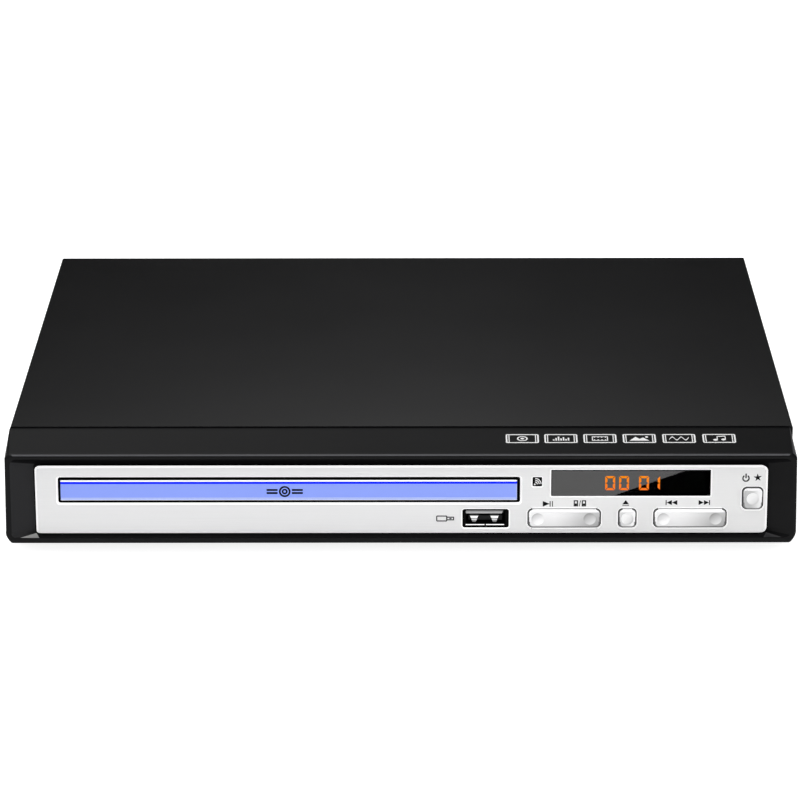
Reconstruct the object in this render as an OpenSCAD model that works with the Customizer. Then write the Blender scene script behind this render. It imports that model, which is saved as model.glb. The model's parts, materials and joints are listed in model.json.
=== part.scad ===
// Compact disc player with a motor-driven tray: sheet-metal case, moulded front,
// loading drive, lifting traverse with pickup, boards, sockets and keys.
// X runs to the right, Y to the back, Z up. The front rim lies at the lowest Y.

/* [Case] */
// Width across the top of the front frame
front_w = 255.2; // [254.8:0.1:256]
// How much wider the frame's foot is on each side
front_flare = 0.3; // [0:0.1:0.4]
// Width across the folded cover
cover_w = 254.7; // [254.5:0.1:254.9]
// Depth from the front rim to the back of the cover
case_d = 212; // [211.5:0.5:212.5]
// Depth from the front rim to the tips of the jacks
overall_d = 220; // [219:0.5:220]
// Height from the table to the top of the cover
case_h = 38.7; // [38.5:0.1:39.5]
// Height of the four feet
foot_h = 5; // [4.5:0.1:5]
// Thickness of the sheet steel
sheet = 0.8; // [0.7:0.05:0.9]
// Depth of the sloping strip behind the front rim
strip_d = 17.5; // [17:0.5:18]
// Drop from the cover's top to the rim
strip_drop = 3.56; // [3.2:0.1:3.8]
// Step from the cover down to the strip
strip_step = 0.7; // [0.4:0.1:0.8]
// Gap between the strip and the cover's front edge
cover_gap = 0.3; // [0.15:0.05:0.4]

/* [Front] */
// Width of the silver plate
plate_w = 236.8; // [236:0.2:237]
// Height of the silver plate
plate_h = 23.6; // [23.4:0.1:23.8]
// Thickness of the silver plate
plate_t = 2.2; // [2:0.1:2.4]
// Depth of the plate's face behind the front rim
plate_back = 1.8; // [1.6:0.1:2]
// Width of the bevel round the plate and round the tray opening
plate_bevel = 0.55; // [0.3:0.05:0.6]
// Width of the tray opening
slot_w = 149.2; // [149:0.1:149.4]
// Height of the tray opening
slot_h = 8.5; // [8.4:0.1:8.6]
// Width of the tray's front piece
door_w = 148; // [147.6:0.1:148.2]
// Height of the tray's front piece
door_h = 7; // [6.8:0.1:7.2]
// Gap round each key in its opening
key_gap = 0.33; // [0.3:0.01:0.36]
// Height that a key stands out of the plate
key_proud = 0.9; // [0.7:0.1:1.1]

/* [Tray and loader] */
// Diameter of the disc well
well_d = 122; // [121:0.5:123]
// Diameter of the inner well for small discs
small_well_d = 82; // [81:0.5:83]
// Travel of the tray
tray_travel = 135; // [130:1:135]
// Module of the loading gears
gear_m = 1; // [1:0.1:1]
// Teeth of the pinion under the tray rack
pinion_teeth = 14; // [14:1:14]
// Teeth of the large wheel on the drive gear
wheel_teeth = 28; // [28:1:28]
// Teeth of the pinion under the belt pulley
small_teeth = 12; // [12:1:12]
// Angle that the traverse is lowered by when the tray may move
drop_angle = 3.2; // [3:0.1:3.3]
// Stroke of the lifting slider
cam_stroke = 14; // [13:0.5:14]
// Outer diameter of the spindle motor
spindle_motor_d = 23.4; // [23:0.2:23.6]

/* [Sockets] */
// Bore of a jack's centre contact
jack_bore_r = 1.65; // [1.6:0.01:1.7]
// Outer radius of a jack's metal ring
jack_ring_r = 4.15; // [4.1:0.01:4.2]
// Distance between the two mains pins
pin_pitch = 8.6; // [8.6:0.1:8.6]
// Radius of a mains pin
pin_r = 1.18; // [1.18:0.01:1.2]

/* [Hidden] */
$fn = 48;
cut = 0.01;                                  // how far a cut runs past a face

// Case
front_y = -overall_d / 2;
cover_back = front_y + case_d;
cover_front = front_y + strip_d;
jack_tip = overall_d / 2;
rim_top = case_h - strip_drop;
cover_in = cover_w / 2 - sheet;              // inner half width of the cover
roof = case_h - sheet;                       // underside of the cover
floor_top = foot_h + sheet;
chassis_w = cover_in - 0.25;                 // half width of the chassis
panel_out = cover_back - sheet;              // outer face of the rear panel
panel_in = panel_out - sheet - 0.1;
board_z = 11;                                // underside of the boards on the floor
board_t = 1.6;
board_top = board_z + board_t;

// Front
recess_y = front_y + plate_back + plate_t;   // floor of the front recess
wall_back = recess_y + 2.5;                  // back face of the moulded wall
frame_low = foot_h - 0.45;                   // lower edge of the frame's rim
frame_corner = [2.4, 4.4];                   // width and height of its lower corners
rim_round = [0.9, 0.8];                      // depth and height of the rim's rounding
plate_y = front_y + plate_back;
plate_x = 0.3;                               // centre of the plate
plate_z = 7.4;                               // lower edge of the plate
slot_x = -35.95;                             // centre of the tray opening
slot_z = 18.13;                              // lower edge of the tray opening
window_lo = [48.75, 20.15];
window_hi = [100.3, 29.1];
keys_z = 12.6;                               // centre height of the lower keys
play_x = 53.07;
eject_x = 73.5;
skip_x = 93.79;
power_x = 113.9;
power_z = 19.4;
rocker_open = [23.8, 6.66];
eject_open = [6.06, 6.66];
power_open = [6.98, 7.8];
ir_x = 44.28;
ir_z = 25.08;
ir_open = 3.1;
usb_x = 27.59;
usb_z = 12.63;
usb_open = [14.6, 6.1];
rocker_reach = 8;                            // from a rocker's middle to its nubs
pivot_y = wall_back + 1.5;
pivot_r = 0.8;
key_board_y = front_y + 12.4;                // front face of the key board
plunger_y = key_board_y - 4.32;
key_front = plate_y - key_proud;

// Loader
disc = [-36, -38];
tray_x = [-104, 32];
tray_y = [front_y + 4.4, 68];
tray_z = [19.5, 25.5];
deck_z = 21.1;                               // underside of the tray between its runners
slot_half = 28;                              // half width of the tray's traverse slot
base_x = [-111, 39];
base_y = [-94, 75];
base_z = 7;
base_t = 1.6;
guide_top = 27.4;
gear_y = -78;
rack_x = -90;                                // pitch line of the tray rack
drive_x = rack_x + gear_m * pinion_teeth / 2;
pulley_x = drive_x + gear_m * (wheel_teeth + small_teeth) / 2;
motor_at = [-28, -80];
pulley_r = 8.4;
motor_pulley_r = 2.4;
belt_t = 1.2;
belt_z = 16.4;
wheel_z = 12.5;

// Traverse, drawn level and then lowered about its hinge
hinge_at = [54, 14.5];                       // Y and Z of the traverse hinge
frame_x = [-70, -2];
frame_y = [-60.5, 58];
frame_z = [12.9, 18.6];
cam_pins = [-50, -22];
cam_pin_z = 16.4;
cam_pin_y = -64.75;
cam_pin_r = 1.4;
rod_z = 15.8;
rods = [-57, -15];
rod_r = 1.5;
screw_at = [-62.5, 14.5];
run_gap = 0.05;                              // radial play of a running fit
lens_at = [disc[0], -14];
seat_z = 24.3;                               // top of the turntable when raised

// Sockets at the back
jacks = [-49, -33, -17];
jack_z = 20;
inlet_x = 104;
inlet_z = 20.4;

// ---- Shared shapes -------------------------------------------------------

// A box between two corners
module span(lo, hi) {
    translate(lo) cube(hi - lo);
}

// A profile drawn in X and Z, carried along Y
module along_y(y0, y1) {
    translate([0, y1, 0]) rotate([90, 0, 0]) linear_extrude(y1 - y0) children();
}

// A profile drawn in Y and Z, carried along X
module along_x(x0, x1) {
    translate([x0, 0, 0]) rotate([90, 0, 90]) linear_extrude(x1 - x0) children();
}

// A round bar along each axis
module rod_along_y(x, z, r, y0, y1) {
    translate([x, y1, z]) rotate([90, 0, 0]) cylinder(r = r, h = y1 - y0);
}

module rod_along_x(y, z, r, x0, x1) {
    translate([x0, y, z]) rotate([0, 90, 0]) cylinder(r = r, h = x1 - x0);
}

module rod_along_z(x, y, r, z0, z1) {
    translate([x, y, z0]) cylinder(r = r, h = z1 - z0);
}

// A rectangle with four round corners
module rounded(lo, hi, r) {
    translate([lo[0] + r, lo[1]]) square([hi[0] - lo[0] - 2 * r, hi[1] - lo[1]]);
    translate([lo[0], lo[1] + r]) square([hi[0] - lo[0], hi[1] - lo[1] - 2 * r]);
    for (x = [lo[0] + r, hi[0] - r], z = [lo[1] + r, hi[1] - r])
        translate([x, z]) circle(r);
}

// A rectangle round a centre, with round corners
module rounded_at(at, size, r) {
    rounded(at - size / 2, at + size / 2, r);
}

// The frame's outline. Its lower corners are taller than wide and flatter than a quarter ellipse:
// each is a superellipse, whose two coordinates are the sine and cosine to a power above 1.
module frame_outline(top_half, foot_half, z0, z1, low, r_high) {
    power = 4 / 3;
    side = concat(
        [for (turn = [0 : 15 : 90])
            [foot_half - low[0] * (1 - pow(sin(turn), power)), z0 + low[1] * (1 - pow(cos(turn), power))]],
        [for (turn = [0 : 15 : 90])
            [top_half - r_high * (1 - cos(turn)), z1 - r_high * (1 - sin(turn))]]);
    polygon(concat(side, [for (k = [len(side) - 1 : -1 : 0]) [-side[k][0], side[k][1]]]));
}

// An involute gear's outline, teeth centred on angle 0, flanks from points at rising radius
PRESSURE = 25;
BACKLASH = 0.05;
function involute(a) = tan(a) * 180 / PI - a;
function flank(m, teeth, r) =
    let (base = m * teeth / 2 * cos(PRESSURE), a = r > base ? acos(base / r) : 0)
    90 / teeth - BACKLASH / (m * teeth / 2) * 180 / PI + involute(PRESSURE) - involute(a);
function gear_outline(m, teeth) =
    let (pitch = m * teeth / 2,
         radii = [pitch - 1.15 * m, pitch - 0.55 * m, pitch, pitch + 0.5 * m, pitch + 0.9 * m])
    [for (k = [0 : teeth - 1]) each [
        for (r = radii) r * [cos(k * 360 / teeth - flank(m, teeth, r)),
                             sin(k * 360 / teeth - flank(m, teeth, r))],
        for (i = [len(radii) - 1 : -1 : 0])
            radii[i] * [cos(k * 360 / teeth + flank(m, teeth, radii[i])),
                        sin(k * 360 / teeth + flank(m, teeth, radii[i]))]
    ]];

module gear(m, teeth, h) {
    linear_extrude(h) polygon(gear_outline(m, teeth));
}

// A rack's outline along Y, with teeth towards +X and a tooth centred on y = 0
module rack_outline(m, first, last, depth) {
    half = PI * m / 4 - BACKLASH;
    slope = tan(PRESSURE) * m;
    teeth = [for (k = [first : last]) each [
        [-1.15 * m, k * PI * m - half - 1.15 * slope],
        [0.9 * m, k * PI * m - half + 0.9 * slope],
        [0.9 * m, k * PI * m + half - 0.9 * slope],
        [-1.15 * m, k * PI * m + half + 1.15 * slope]
    ]];
    polygon(concat(teeth, [[-depth, last * PI * m + 2.2], [-depth, first * PI * m - 2.2]]));
}

// The traverse and all that rides on it stand lowered when the player is at rest
module lowered() {
    translate([0, hinge_at[0], hinge_at[1]]) rotate([drop_angle, 0, 0])
        translate([0, -hinge_at[0], -hinge_at[1]]) children();
}

// A pan-head screw that points down
module screw(x, y, seat, length) {
    rod_along_z(x, y, 2.6, seat, seat + 1.6);
    rod_along_z(x, y, 1.2, seat - length, seat);
}

// ---- Case ----------------------------------------------------------------

loader_posts = [[-112.2, -86], [40.2, -86], [-112.2, 68], [40.2, 68]];
board_posts = [
    [48, -84], [118, -84], [48, -14], [118, -14],
    [48, 4], [118, 4], [48, 80], [118, 80], [-60, 82], [-6, 82]
];

module bottom_chassis() {
    color([0.62, 0.63, 0.64]) difference() {
        union() {
            span([-chassis_w, cover_front + 0.2, foot_h], [chassis_w, panel_in, floor_top]);
            span([-124.9, front_y + 10.2, foot_h], [124.9, cover_front + 0.3, floor_top]);
            span([-124.9, front_y + 10.2, foot_h], [124.9, front_y + 10.2 + sheet, floor_top + 1.5]);
            for (side = [-1, 1])
                span([side * chassis_w - (side > 0 ? sheet : 0), cover_front + 5, foot_h],
                     [side * chassis_w + (side > 0 ? 0 : sheet), panel_in, foot_h + 12]);
            span([-chassis_w, panel_in - sheet, foot_h], [chassis_w, panel_in, foot_h + 5]);
            for (p = loader_posts)
                rod_along_z(p[0], p[1], 4.5, foot_h, base_z);
            for (p = board_posts)
                rod_along_z(p[0], p[1], 3, foot_h, board_z);
        }
        for (p = loader_posts)
            rod_along_z(p[0], p[1], 1.25, foot_h - 1, base_z + 1);
        for (p = board_posts)
            rod_along_z(p[0], p[1], 1.25, foot_h + 1.5, board_z + 1);
        for (x = [56 : 7 : 112])
            translate([0, 0, foot_h - 1]) linear_extrude(3)
                rounded([x, 30], [x + 2.6, 66], 1.2);
        for (x = [56 : 7 : 112])
            translate([0, 0, foot_h - 1]) linear_extrude(3)
                rounded([x, -66], [x + 2.6, -36], 1.2);
        for (side = [-1, 1], y = side_screws)
            rod_along_x(y, side_screw_z, 1.25, side * 126 - 3, side * 126 + 3);
    }
}

side_screws = [-62, 78];
side_screw_z = 13;
lip_screws = [-100, 0, 84];
lip_screw_z = 34.2;

// The cover's cross-section: a roof and two sides with a small bend radius
module cover_profile() {
    difference() {
        union() {
            translate([-cover_w / 2, foot_h + 0.4]) square([cover_w, case_h - foot_h - 2.4]);
            translate([2 - cover_w / 2, case_h - 3]) square([cover_w - 4, 3]);
            for (side = [-1, 1])
                translate([side * (cover_w / 2 - 2), case_h - 2]) circle(2);
        }
        translate([-cover_in, 0]) square([2 * cover_in, roof - 1.2]);
        translate([1.2 - cover_in, 0]) square([2 * cover_in - 2.4, roof]);
        for (side = [-1, 1])
            translate([side * (cover_in - 1.2), roof - 1.2]) circle(1.2);
    }
}

module top_cover() {
    color([0.09, 0.09, 0.095]) difference() {
        union() {
            along_y(cover_front + cover_gap, cover_back - sheet) cover_profile();
            along_y(cover_back - sheet, cover_back)
                rounded([-cover_w / 2, 30], [cover_w / 2, case_h], 2);
        }
        along_x(-cover_w, cover_w)
            for (y = [14 : 5 : 74])
                rounded([y, 14], [y + 2, 30], 0.95);
        along_x(-cover_w, cover_w)
            for (y = side_screws)
                translate([y, side_screw_z]) circle(1.6);
        for (x = lip_screws)
            rod_along_y(x, lip_screw_z, 1.6, cover_back - 3, cover_back + 3);
    }
}

module rear_panel() {
    color([0.5, 0.51, 0.52]) difference() {
        along_y(panel_in, panel_out)
            rounded([-chassis_w, foot_h + 0.6], [chassis_w, roof - 0.15], 1.3);
        for (x = jacks)
            rod_along_y(x, jack_z, 5.5, 95, 105);
        along_y(95, 105) rounded_at([inlet_x, inlet_z], [25, 15.6], 1);
        along_y(95, 105)
            for (x = [40 : 5 : 80])
                rounded([x, 13], [x + 2, 29], 0.95);
        for (x = lip_screws)
            rod_along_y(x, lip_screw_z, 1.25, 95, 105);
    }
}

// One foot: a short turned pad with a rounded lower edge
module foot() {
    rotate_extrude() polygon([
        [0, 0], [6.4, 0], [7.2, 0.3], [7.6, 0.9], [8, foot_h], [0, foot_h]
    ]);
}

module rubber_feet() {
    color([0.06, 0.06, 0.06])
        for (x = [-104, 104], y = [-84, 84])
            translate([x, y, 0]) foot();
}

module cover_screws() {
    color([0.08, 0.08, 0.08]) {
        for (side = [-1, 1], y = side_screws)
            translate([side * cover_w / 2, y, side_screw_z]) rotate([0, side * 90, 0])
                cover_screw();
        for (x = lip_screws)
            translate([x, cover_back, lip_screw_z]) rotate([-90, 0, 0]) cover_screw();
    }
}

// A washer-head screw that points down, its seat at z = 0
module cover_screw() {
    difference() {
        union() {
            cylinder(r = 3.6, h = 0.4);
            cylinder(r = 2.7, h = 1.3);
            translate([0, 0, -5]) cylinder(r = 1.2, h = 5.1);
        }
        for (turn = [0, 90])
            rotate([0, 0, turn]) translate([-1.8, -0.35, 0.6]) cube([3.6, 0.7, 2]);
    }
}

module chassis_screws() {
    color([0.72, 0.72, 0.7]) {
        for (p = loader_posts)
            screw(p[0], p[1], base_z + base_t, 2.6);
        for (p = board_posts)
            screw(p[0], p[1], board_top, 4.5);
        for (x = [-105.9, 33.9], y = [-50, -26])
            screw(x, y, guide_top + 1.6, 5);
    }
}

// ---- Moulded front -------------------------------------------------------

// The outside of the frame: a rounded rim that slopes back and up to the cover
module bezel_body() {
    half = front_w / 2;
    hull() {
        for (turn = [0 : 18 : 90]) {
            deep = rim_round[0] * (1 - cos(turn));
            inset = rim_round[1] * (1 - sin(turn));
            along_y(front_y + deep, front_y + deep + cut)
                frame_outline(half - inset, half + front_flare - inset, frame_low + inset,
                              rim_top - inset + 0.2 * deep, frame_corner, 1.6);
        }
        along_y(cover_front - cut, cover_front)
            frame_outline(cover_w / 2, cover_w / 2, foot_h, case_h - strip_step, [0.6, 0.6], 2);
    }
}

// The slanted recess that frames the plate, and the gap that runs round the plate
module bezel_recess() {
    hull() {
        along_y(front_y - cut, front_y) rounded([-125.9, 6.45], [126, 33.55], 2.2, $fn = 32);
        along_y(recess_y - cut, recess_y)
            rounded([plate_x - plate_w / 2 - 0.55, plate_z - 0.55],
                    [plate_x + plate_w / 2 + 0.5, plate_z + plate_h + 0.55], 2, $fn = 32);
    }
}

// A three-sided web in a lower corner of the recess
module corner_web(side) {
    x = side * (front_w / 2 - 5.8);
    back = plate_y - 0.08;
    polyhedron(
        points = [
            [x, front_y + 0.35, 6.5], [x - side * 6.2, front_y + 0.35, 6.45],
            [x - side * 5.2, back, 7.7], [x + side * 1.4, back, 6], [x - side * 6.4, back, 6]
        ],
        faces = side > 0
            ? [[0, 2, 1], [0, 3, 2], [1, 2, 4], [2, 3, 4], [0, 1, 4], [0, 4, 3]]
            : [[0, 1, 2], [0, 2, 3], [1, 4, 2], [2, 4, 3], [0, 4, 1], [0, 3, 4]]
    );
}

// The openings that the plate and the moulded wall share
module shared_openings() {
    rounded([slot_x - slot_w / 2, slot_z], [slot_x + slot_w / 2, slot_z + slot_h], 0.7);
    rounded_at([play_x, keys_z], rocker_open, 1.2);
    rounded_at([eject_x, keys_z], eject_open, 1.1);
    rounded_at([skip_x, keys_z], rocker_open, 1.2);
    rounded_at([power_x, power_z], power_open, 1.3);
    rounded_at([usb_x, usb_z], usb_open, 0.6);
}

key_board_posts = [[52, 31.4], [107, 31.4], [118.5, 11]];

module front_bezel() {
    color([0.11, 0.11, 0.115]) difference() {
        union() {
            difference() {
                bezel_body();
                bezel_recess();
                along_x(-125.3, 125.3) polygon([
                    [wall_back, foot_h + 2], [wall_back, rim_top - 1.4],
                    [cover_front + 1, case_h - 2.1], [cover_front + 1, foot_h + 2]
                ]);
                span([-125.3, front_y + 10, 0], [125.3, cover_front + 1, foot_h + 2.1]);
            }
            difference() {
                span([-cover_in + 0.15, cover_front - 0.5, foot_h + 2],
                     [cover_in - 0.15, cover_front + 3.5, roof - 1.3]);
                span([-125.3, cover_front - 1, 0], [125.3, cover_front + 4, roof - 2.2]);
            }
            for (x = [play_x, skip_x]) {
                span([x - 2, wall_back - 0.5, foot_h + 1.5], [x + 2, pivot_y + 1.6, keys_z - 3.9]);
                span([x - 2, wall_back - 0.5, keys_z + 3.9], [x + 2, pivot_y + 1.6, keys_z + 5.6]);
            }
            for (p = key_board_posts)
                rod_along_y(p[0], p[1], 2.6, wall_back - 0.5, key_board_y);
            corner_web(-1);
            corner_web(1);
        }
        along_y(recess_y - 1, wall_back + 1) shared_openings();
        along_y(recess_y - 1, wall_back + 1) {
            rounded(window_lo + [1, 0.45], window_hi - [0.9, 0.45], 0.4);
            rounded_at([ir_x, ir_z], [ir_open - 0.6, ir_open - 0.6], 0.4);
        }
        for (x = [play_x, skip_x])
            rod_along_z(x, pivot_y, pivot_r + run_gap, foot_h + 2.5, keys_z + 6);
        for (p = key_board_posts)
            rod_along_y(p[0], p[1], 1, wall_back, key_board_y + 1);
    }
}

// The silver plate, with a fine bevel round its edge and round the tray opening
module front_plate() {
    bevel = plate_bevel;
    lo = [plate_x - plate_w / 2, plate_z];
    hi = lo + [plate_w, plate_h];
    slot_lo = [slot_x - slot_w / 2, slot_z];
    color([0.88, 0.88, 0.88]) difference() {
        hull() {
            along_y(plate_y, plate_y + cut) plate_outline(lo, hi, bevel);
            along_y(plate_y + bevel, recess_y) plate_outline(lo, hi, 0);
        }
        along_y(plate_y - 1, recess_y + 1) shared_openings();
        hull() {
            along_y(plate_y - cut, plate_y)
                rounded(slot_lo - [bevel, bevel], slot_lo + [slot_w + bevel, slot_h + bevel], 1.1, $fn = 32);
            along_y(plate_y + bevel, plate_y + bevel + cut)
                rounded(slot_lo, slot_lo + [slot_w, slot_h], 0.7, $fn = 32);
        }
        along_y(plate_y - 1, recess_y + 1) rounded(window_lo, window_hi, 0.25);
        along_y(plate_y - 1, recess_y + 1) rounded_at([ir_x, ir_z], [ir_open, ir_open], 0.3);
    }
}

// The plate's outline, whose left corners are tighter than its right ones
module plate_outline(lo, hi, inset) {
    corners = [[lo[0], lo[1], 1.1], [lo[0], hi[1], 1.6], [hi[0], lo[1], 2], [hi[0], hi[1], 2.3]];
    hull()
        for (c = corners)
            translate([c[0] + (c[0] < 0 ? c[2] : -c[2]), c[1] + (c[1] < 15 ? c[2] : -c[2])])
                circle(c[2] - inset, $fn = 32);
}

module display_window() {
    color([0.03, 0.03, 0.03]) union() {
        along_y(plate_y - 0.1, recess_y) rounded(window_lo + [0.08, 0.08], window_hi - [0.08, 0.08], 0.2);
    }
}

module ir_window() {
    color([0.05, 0.03, 0.03])
        along_y(plate_y - 0.05, recess_y)
            rounded_at([ir_x, ir_z], [ir_open - 0.16, ir_open - 0.16], 0.3);
}

// ---- Keys ----------------------------------------------------------------

// A key cap with a raised rim line, a bevelled edge and round finger dimples
module key_cap(at, open, r, dimples) {
    size = open - 2 * [key_gap, key_gap];
    difference() {
        hull() {
            along_y(key_front, key_front + cut) rounded_at(at, size - [0.9, 0.9], r, $fn = 32);
            along_y(key_front + 0.14, key_front + 0.15) rounded_at(at, size - [0.3, 0.3], r, $fn = 32);
            along_y(key_front + 0.45, wall_back - 0.4) rounded_at(at, size, r, $fn = 32);
        }
        for (x = dimples)
            translate([at[0] + x, key_front - 4.9, at[1]]) sphere(r = 5.35);
    }
}

module rocker(x) {
    key_cap([x, keys_z], rocker_open, 1, [-rocker_reach - 0.6, rocker_reach + 0.4]);
    span([x - 1.2, wall_back - 0.5, keys_z - 2.6], [x + 1.2, pivot_y + 0.5, keys_z + 2.6]);
    rod_along_z(x, pivot_y, pivot_r, foot_h + 2.7, keys_z + 5.4);
    for (side = [-1, 1])
        rod_along_y(x + side * rocker_reach, keys_z, 1.2, wall_back - 0.5, plunger_y - 0.33);
}

module press_key(at, open, r) {
    size = open + [1.4, 1.4];
    key_cap(at, open, r, [0]);
    rod_along_y(at[0], at[1], 2, wall_back - 0.5, plunger_y - 0.52);
    along_y(wall_back + 0.2, wall_back + 0.9) rounded_at(at, size, 1.2);
}

module play_channel_button() {
    color([0.84, 0.85, 0.86]) rocker(play_x);
}

module skip_button() {
    color([0.84, 0.85, 0.86]) rocker(skip_x);
}

module eject_button() {
    color([0.84, 0.85, 0.86]) press_key([eject_x, keys_z], eject_open, 0.9);
}

module power_button() {
    color([0.84, 0.85, 0.86]) press_key([power_x, power_z], power_open, 1.1);
}

// ---- Key board -----------------------------------------------------------

module front_board() {
    color([0.1, 0.32, 0.16]) difference() {
        along_y(key_board_y, key_board_y + board_t) polygon([
            [12, 8], [122, 8], [122, 34], [42, 34], [42, 17.2], [12, 17.2]
        ]);
        for (p = key_board_posts)
            rod_along_y(p[0], p[1], 1.3, key_board_y - 1, key_board_y + 3);
    }
}

module led_display() {
    color([0.12, 0.12, 0.12])
        span([62, recess_y + 0.4, window_lo[1] + 0.55], [92, key_board_y, window_hi[1] - 0.55]);
}

// A tact switch with its plunger, seen from the front at x and z
module tact_switch(x, z) {
    span([x - 3, plunger_y + 0.82, z - 3], [x + 3, key_board_y, z + 3]);
    rod_along_y(x, z, 1.7, plunger_y, plunger_y + 1);
}

module key_switches() {
    color([0.18, 0.18, 0.18]) {
        for (x = [play_x, skip_x], side = [-1, 1])
            tact_switch(x + side * rocker_reach, keys_z);
        tact_switch(eject_x, keys_z);
        tact_switch(power_x, power_z);
    }
}

module ir_receiver() {
    color([0.1, 0.06, 0.08]) {
        span([ir_x - 2.6, key_board_y - 4.5, ir_z - 3], [ir_x + 2.6, key_board_y, ir_z + 3.4]);
        translate([ir_x, key_board_y - 4.5, ir_z]) rotate([90, 0, 0])
            cylinder(r1 = 2.2, r2 = 1, h = 1.1, $fn = 32);
    }
}

// The metal shell of the socket: four walls, a flared upper lip and two spring fingers
module usb_shell() {
    half = [6.6, 2.85];
    wall = 0.32;
    mouth = plate_y + 0.5;
    color([0.72, 0.73, 0.74]) {
        difference() {
            along_y(mouth, key_board_y)
                rounded_at([usb_x, usb_z], 2 * half, 0.5);
            along_y(mouth - 1, key_board_y - 0.5)
                rounded_at([usb_x, usb_z], 2 * (half - [wall, wall]), 0.3);
            span([usb_x - 0.15, mouth - 1, usb_z - 4], [usb_x + 0.15, mouth + 3, usb_z - 2]);
        }
        for (side = [-1, 1])
            translate([usb_x + side * 3.3, mouth + 0.9, usb_z + half[1] - wall + 0.05])
                rotate([-55, 0, 0]) translate([0, 0, -2.2])
                    rotate([90, 0, 0]) linear_extrude(0.22)
                        polygon([[-0.65, 0], [0.65, 0], [1.3, 2.25], [-1.3, 2.25]]);
    }
}

// The contact tongue with four raised contact tracks
module usb_tongue() {
    back = key_board_y - 0.5;
    color([0.05, 0.05, 0.06]) {
        span([usb_x - 5.5, plate_y + 3, usb_z - 1.7], [usb_x + 5.5, back, usb_z - 0.1]);
        span([usb_x - 6.1, back - 1.4, usb_z - 2.4], [usb_x + 6.1, back, usb_z + 2.4]);
        for (x = [-3.5, -1, 1, 3.5])
            span([usb_x + x - 0.5, plate_y + 3.6, usb_z - 0.2], [usb_x + x + 0.5, back - 1, usb_z + 0.05]);
    }
}

// ---- Loader --------------------------------------------------------------

// Profile of a side rail: a ledge under the tray and a guide wall beside it
module rail_profile() {
    polygon([
        [base_x[0], base_z], [tray_x[0] + 3, base_z], [tray_x[0] + 3, tray_z[0] - 0.1],
        [tray_x[0] - 0.4, tray_z[0] - 0.1], [tray_x[0] - 0.4, guide_top],
        [tray_x[0] - 3.4, guide_top], [tray_x[0] - 3.4, base_z + base_t],
        [base_x[0], base_z + base_t]
    ]);
}

module rail_side() {
    along_y(base_y[0], base_y[1]) rail_profile();
    for (y = [-86, -52, 22, 58])
        span([tray_x[0] - 0.5, y, tray_z[1] + 0.2], [tray_x[0] + 2, y + 9, guide_top]);
    for (y = [-50, -26])
        rod_along_z(tray_x[0] - 1.9, y, 1.9, base_z, guide_top);
}

module loader_base() {
    color([0.2, 0.2, 0.21]) difference() {
        union() {
            rail_side();
            translate([2 * disc[0], 0, 0]) mirror([1, 0, 0]) rail_side();
            span([base_x[0], base_y[0], base_z], [base_x[1], base_y[1], base_z + base_t]);
            span([tray_x[0], base_y[1] - 2, base_z], [tray_x[1], base_y[1], 18]);
            for (p = loader_posts)
                hull() {
                    rod_along_z(p[0], p[1], 4.4, base_z, base_z + base_t);
                    rod_along_z(p[0] < 0 ? p[0] + 5 : p[0] - 5, p[1], 4.4, base_z, base_z + base_t);
                }
            for (x = [-79, 3])
                span([x, hinge_at[0] - 6, base_z], [x + 4, hinge_at[0] + 6, 19.2]);
            rod_along_z(pulley_x, gear_y, 1.5, base_z, 19);
            rod_along_z(pulley_x, gear_y, 3, base_z, wheel_z - 0.15);
            rod_along_z(drive_x, gear_y, 1.5, base_z, 20);
            rod_along_z(drive_x, gear_y, 3, base_z, wheel_z - 0.15);
            rod_along_z(motor_at[0], motor_at[1], 12, base_z, 12.6);
            for (x = [-58, -14])
                span([x - 3, -71, base_z], [x + 3, -66.3, 11]);
        }
        span([-74, -61.5, 0], [2, 62, 18.9]);
        span([-68, -67.2, 0], [10, -61, 10]);
        rod_along_z(motor_at[0], motor_at[1], 10.6, 0, 14);
        for (p = loader_posts)
            rod_along_z(p[0], p[1], 1.4, 0, 20);
        for (x = [-105.9, 33.9], y = [-50, -26])
            rod_along_z(x, y, 1.25, 18, 30);
        rod_along_x(hinge_at[0], hinge_at[1], 4, -80, 10);
        span([-100.5, 30, 0], [-78, 60, 12]);
        span([6, 10, 0], [28, 44, 12]);
    }
}

module damper_bushes() {
    color([0.04, 0.04, 0.04])
        for (x = [-79, 3])
            difference() {
                rod_along_x(hinge_at[0], hinge_at[1], 4, x, x + 4);
                rod_along_x(hinge_at[0], hinge_at[1], 1.5 + run_gap, x - 1, x + 5);
            }
}

// The tray: a deck with two runners, a disc well in two steps and a slot for the traverse
module disc_tray() {
    well_z = 23.3;
    color([0.16, 0.16, 0.17]) difference() {
        union() {
            span([tray_x[0], tray_y[0], deck_z], [tray_x[1], tray_y[1], tray_z[1]]);
            for (x = [tray_x[0], tray_x[1] - 5])
                span([x, tray_y[0], tray_z[0]], [x + 5, tray_y[1], deck_z + 0.5]);
            translate([rack_x, gear_y, tray_z[0]])
                linear_extrude(deck_z - tray_z[0] + 0.5) rack_outline(gear_m, -1, 45, 3.4);
            for (x = [-100, 24])
                span([x, tray_y[0] - 1.2, tray_z[0] + 1], [x + 8, tray_y[0] + 1, deck_z + 1]);
        }
        rod_along_z(disc[0], disc[1], well_d / 2, well_z, 30);
        rod_along_z(disc[0], disc[1], small_well_d / 2, well_z - 1.1, 30);
        for (turn = [45, 135, 225, 315])
            translate([disc[0], disc[1], 0]) rotate([0, 0, turn])
                rod_along_z(well_d / 2 + 1, 0, 7, well_z - 0.6, 30);
        span([disc[0] - slot_half, disc[1] - 4, 0], [disc[0] + slot_half, 80, 30]);
        rod_along_z(disc[0], disc[1] - 4, slot_half * 0.66, 0, 30);
        for (x = [tray_x[0] + 8, tray_x[1] - 14])
            span([x, 30, deck_z - 3], [x + 6, 60, 30]);
    }
}

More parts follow.
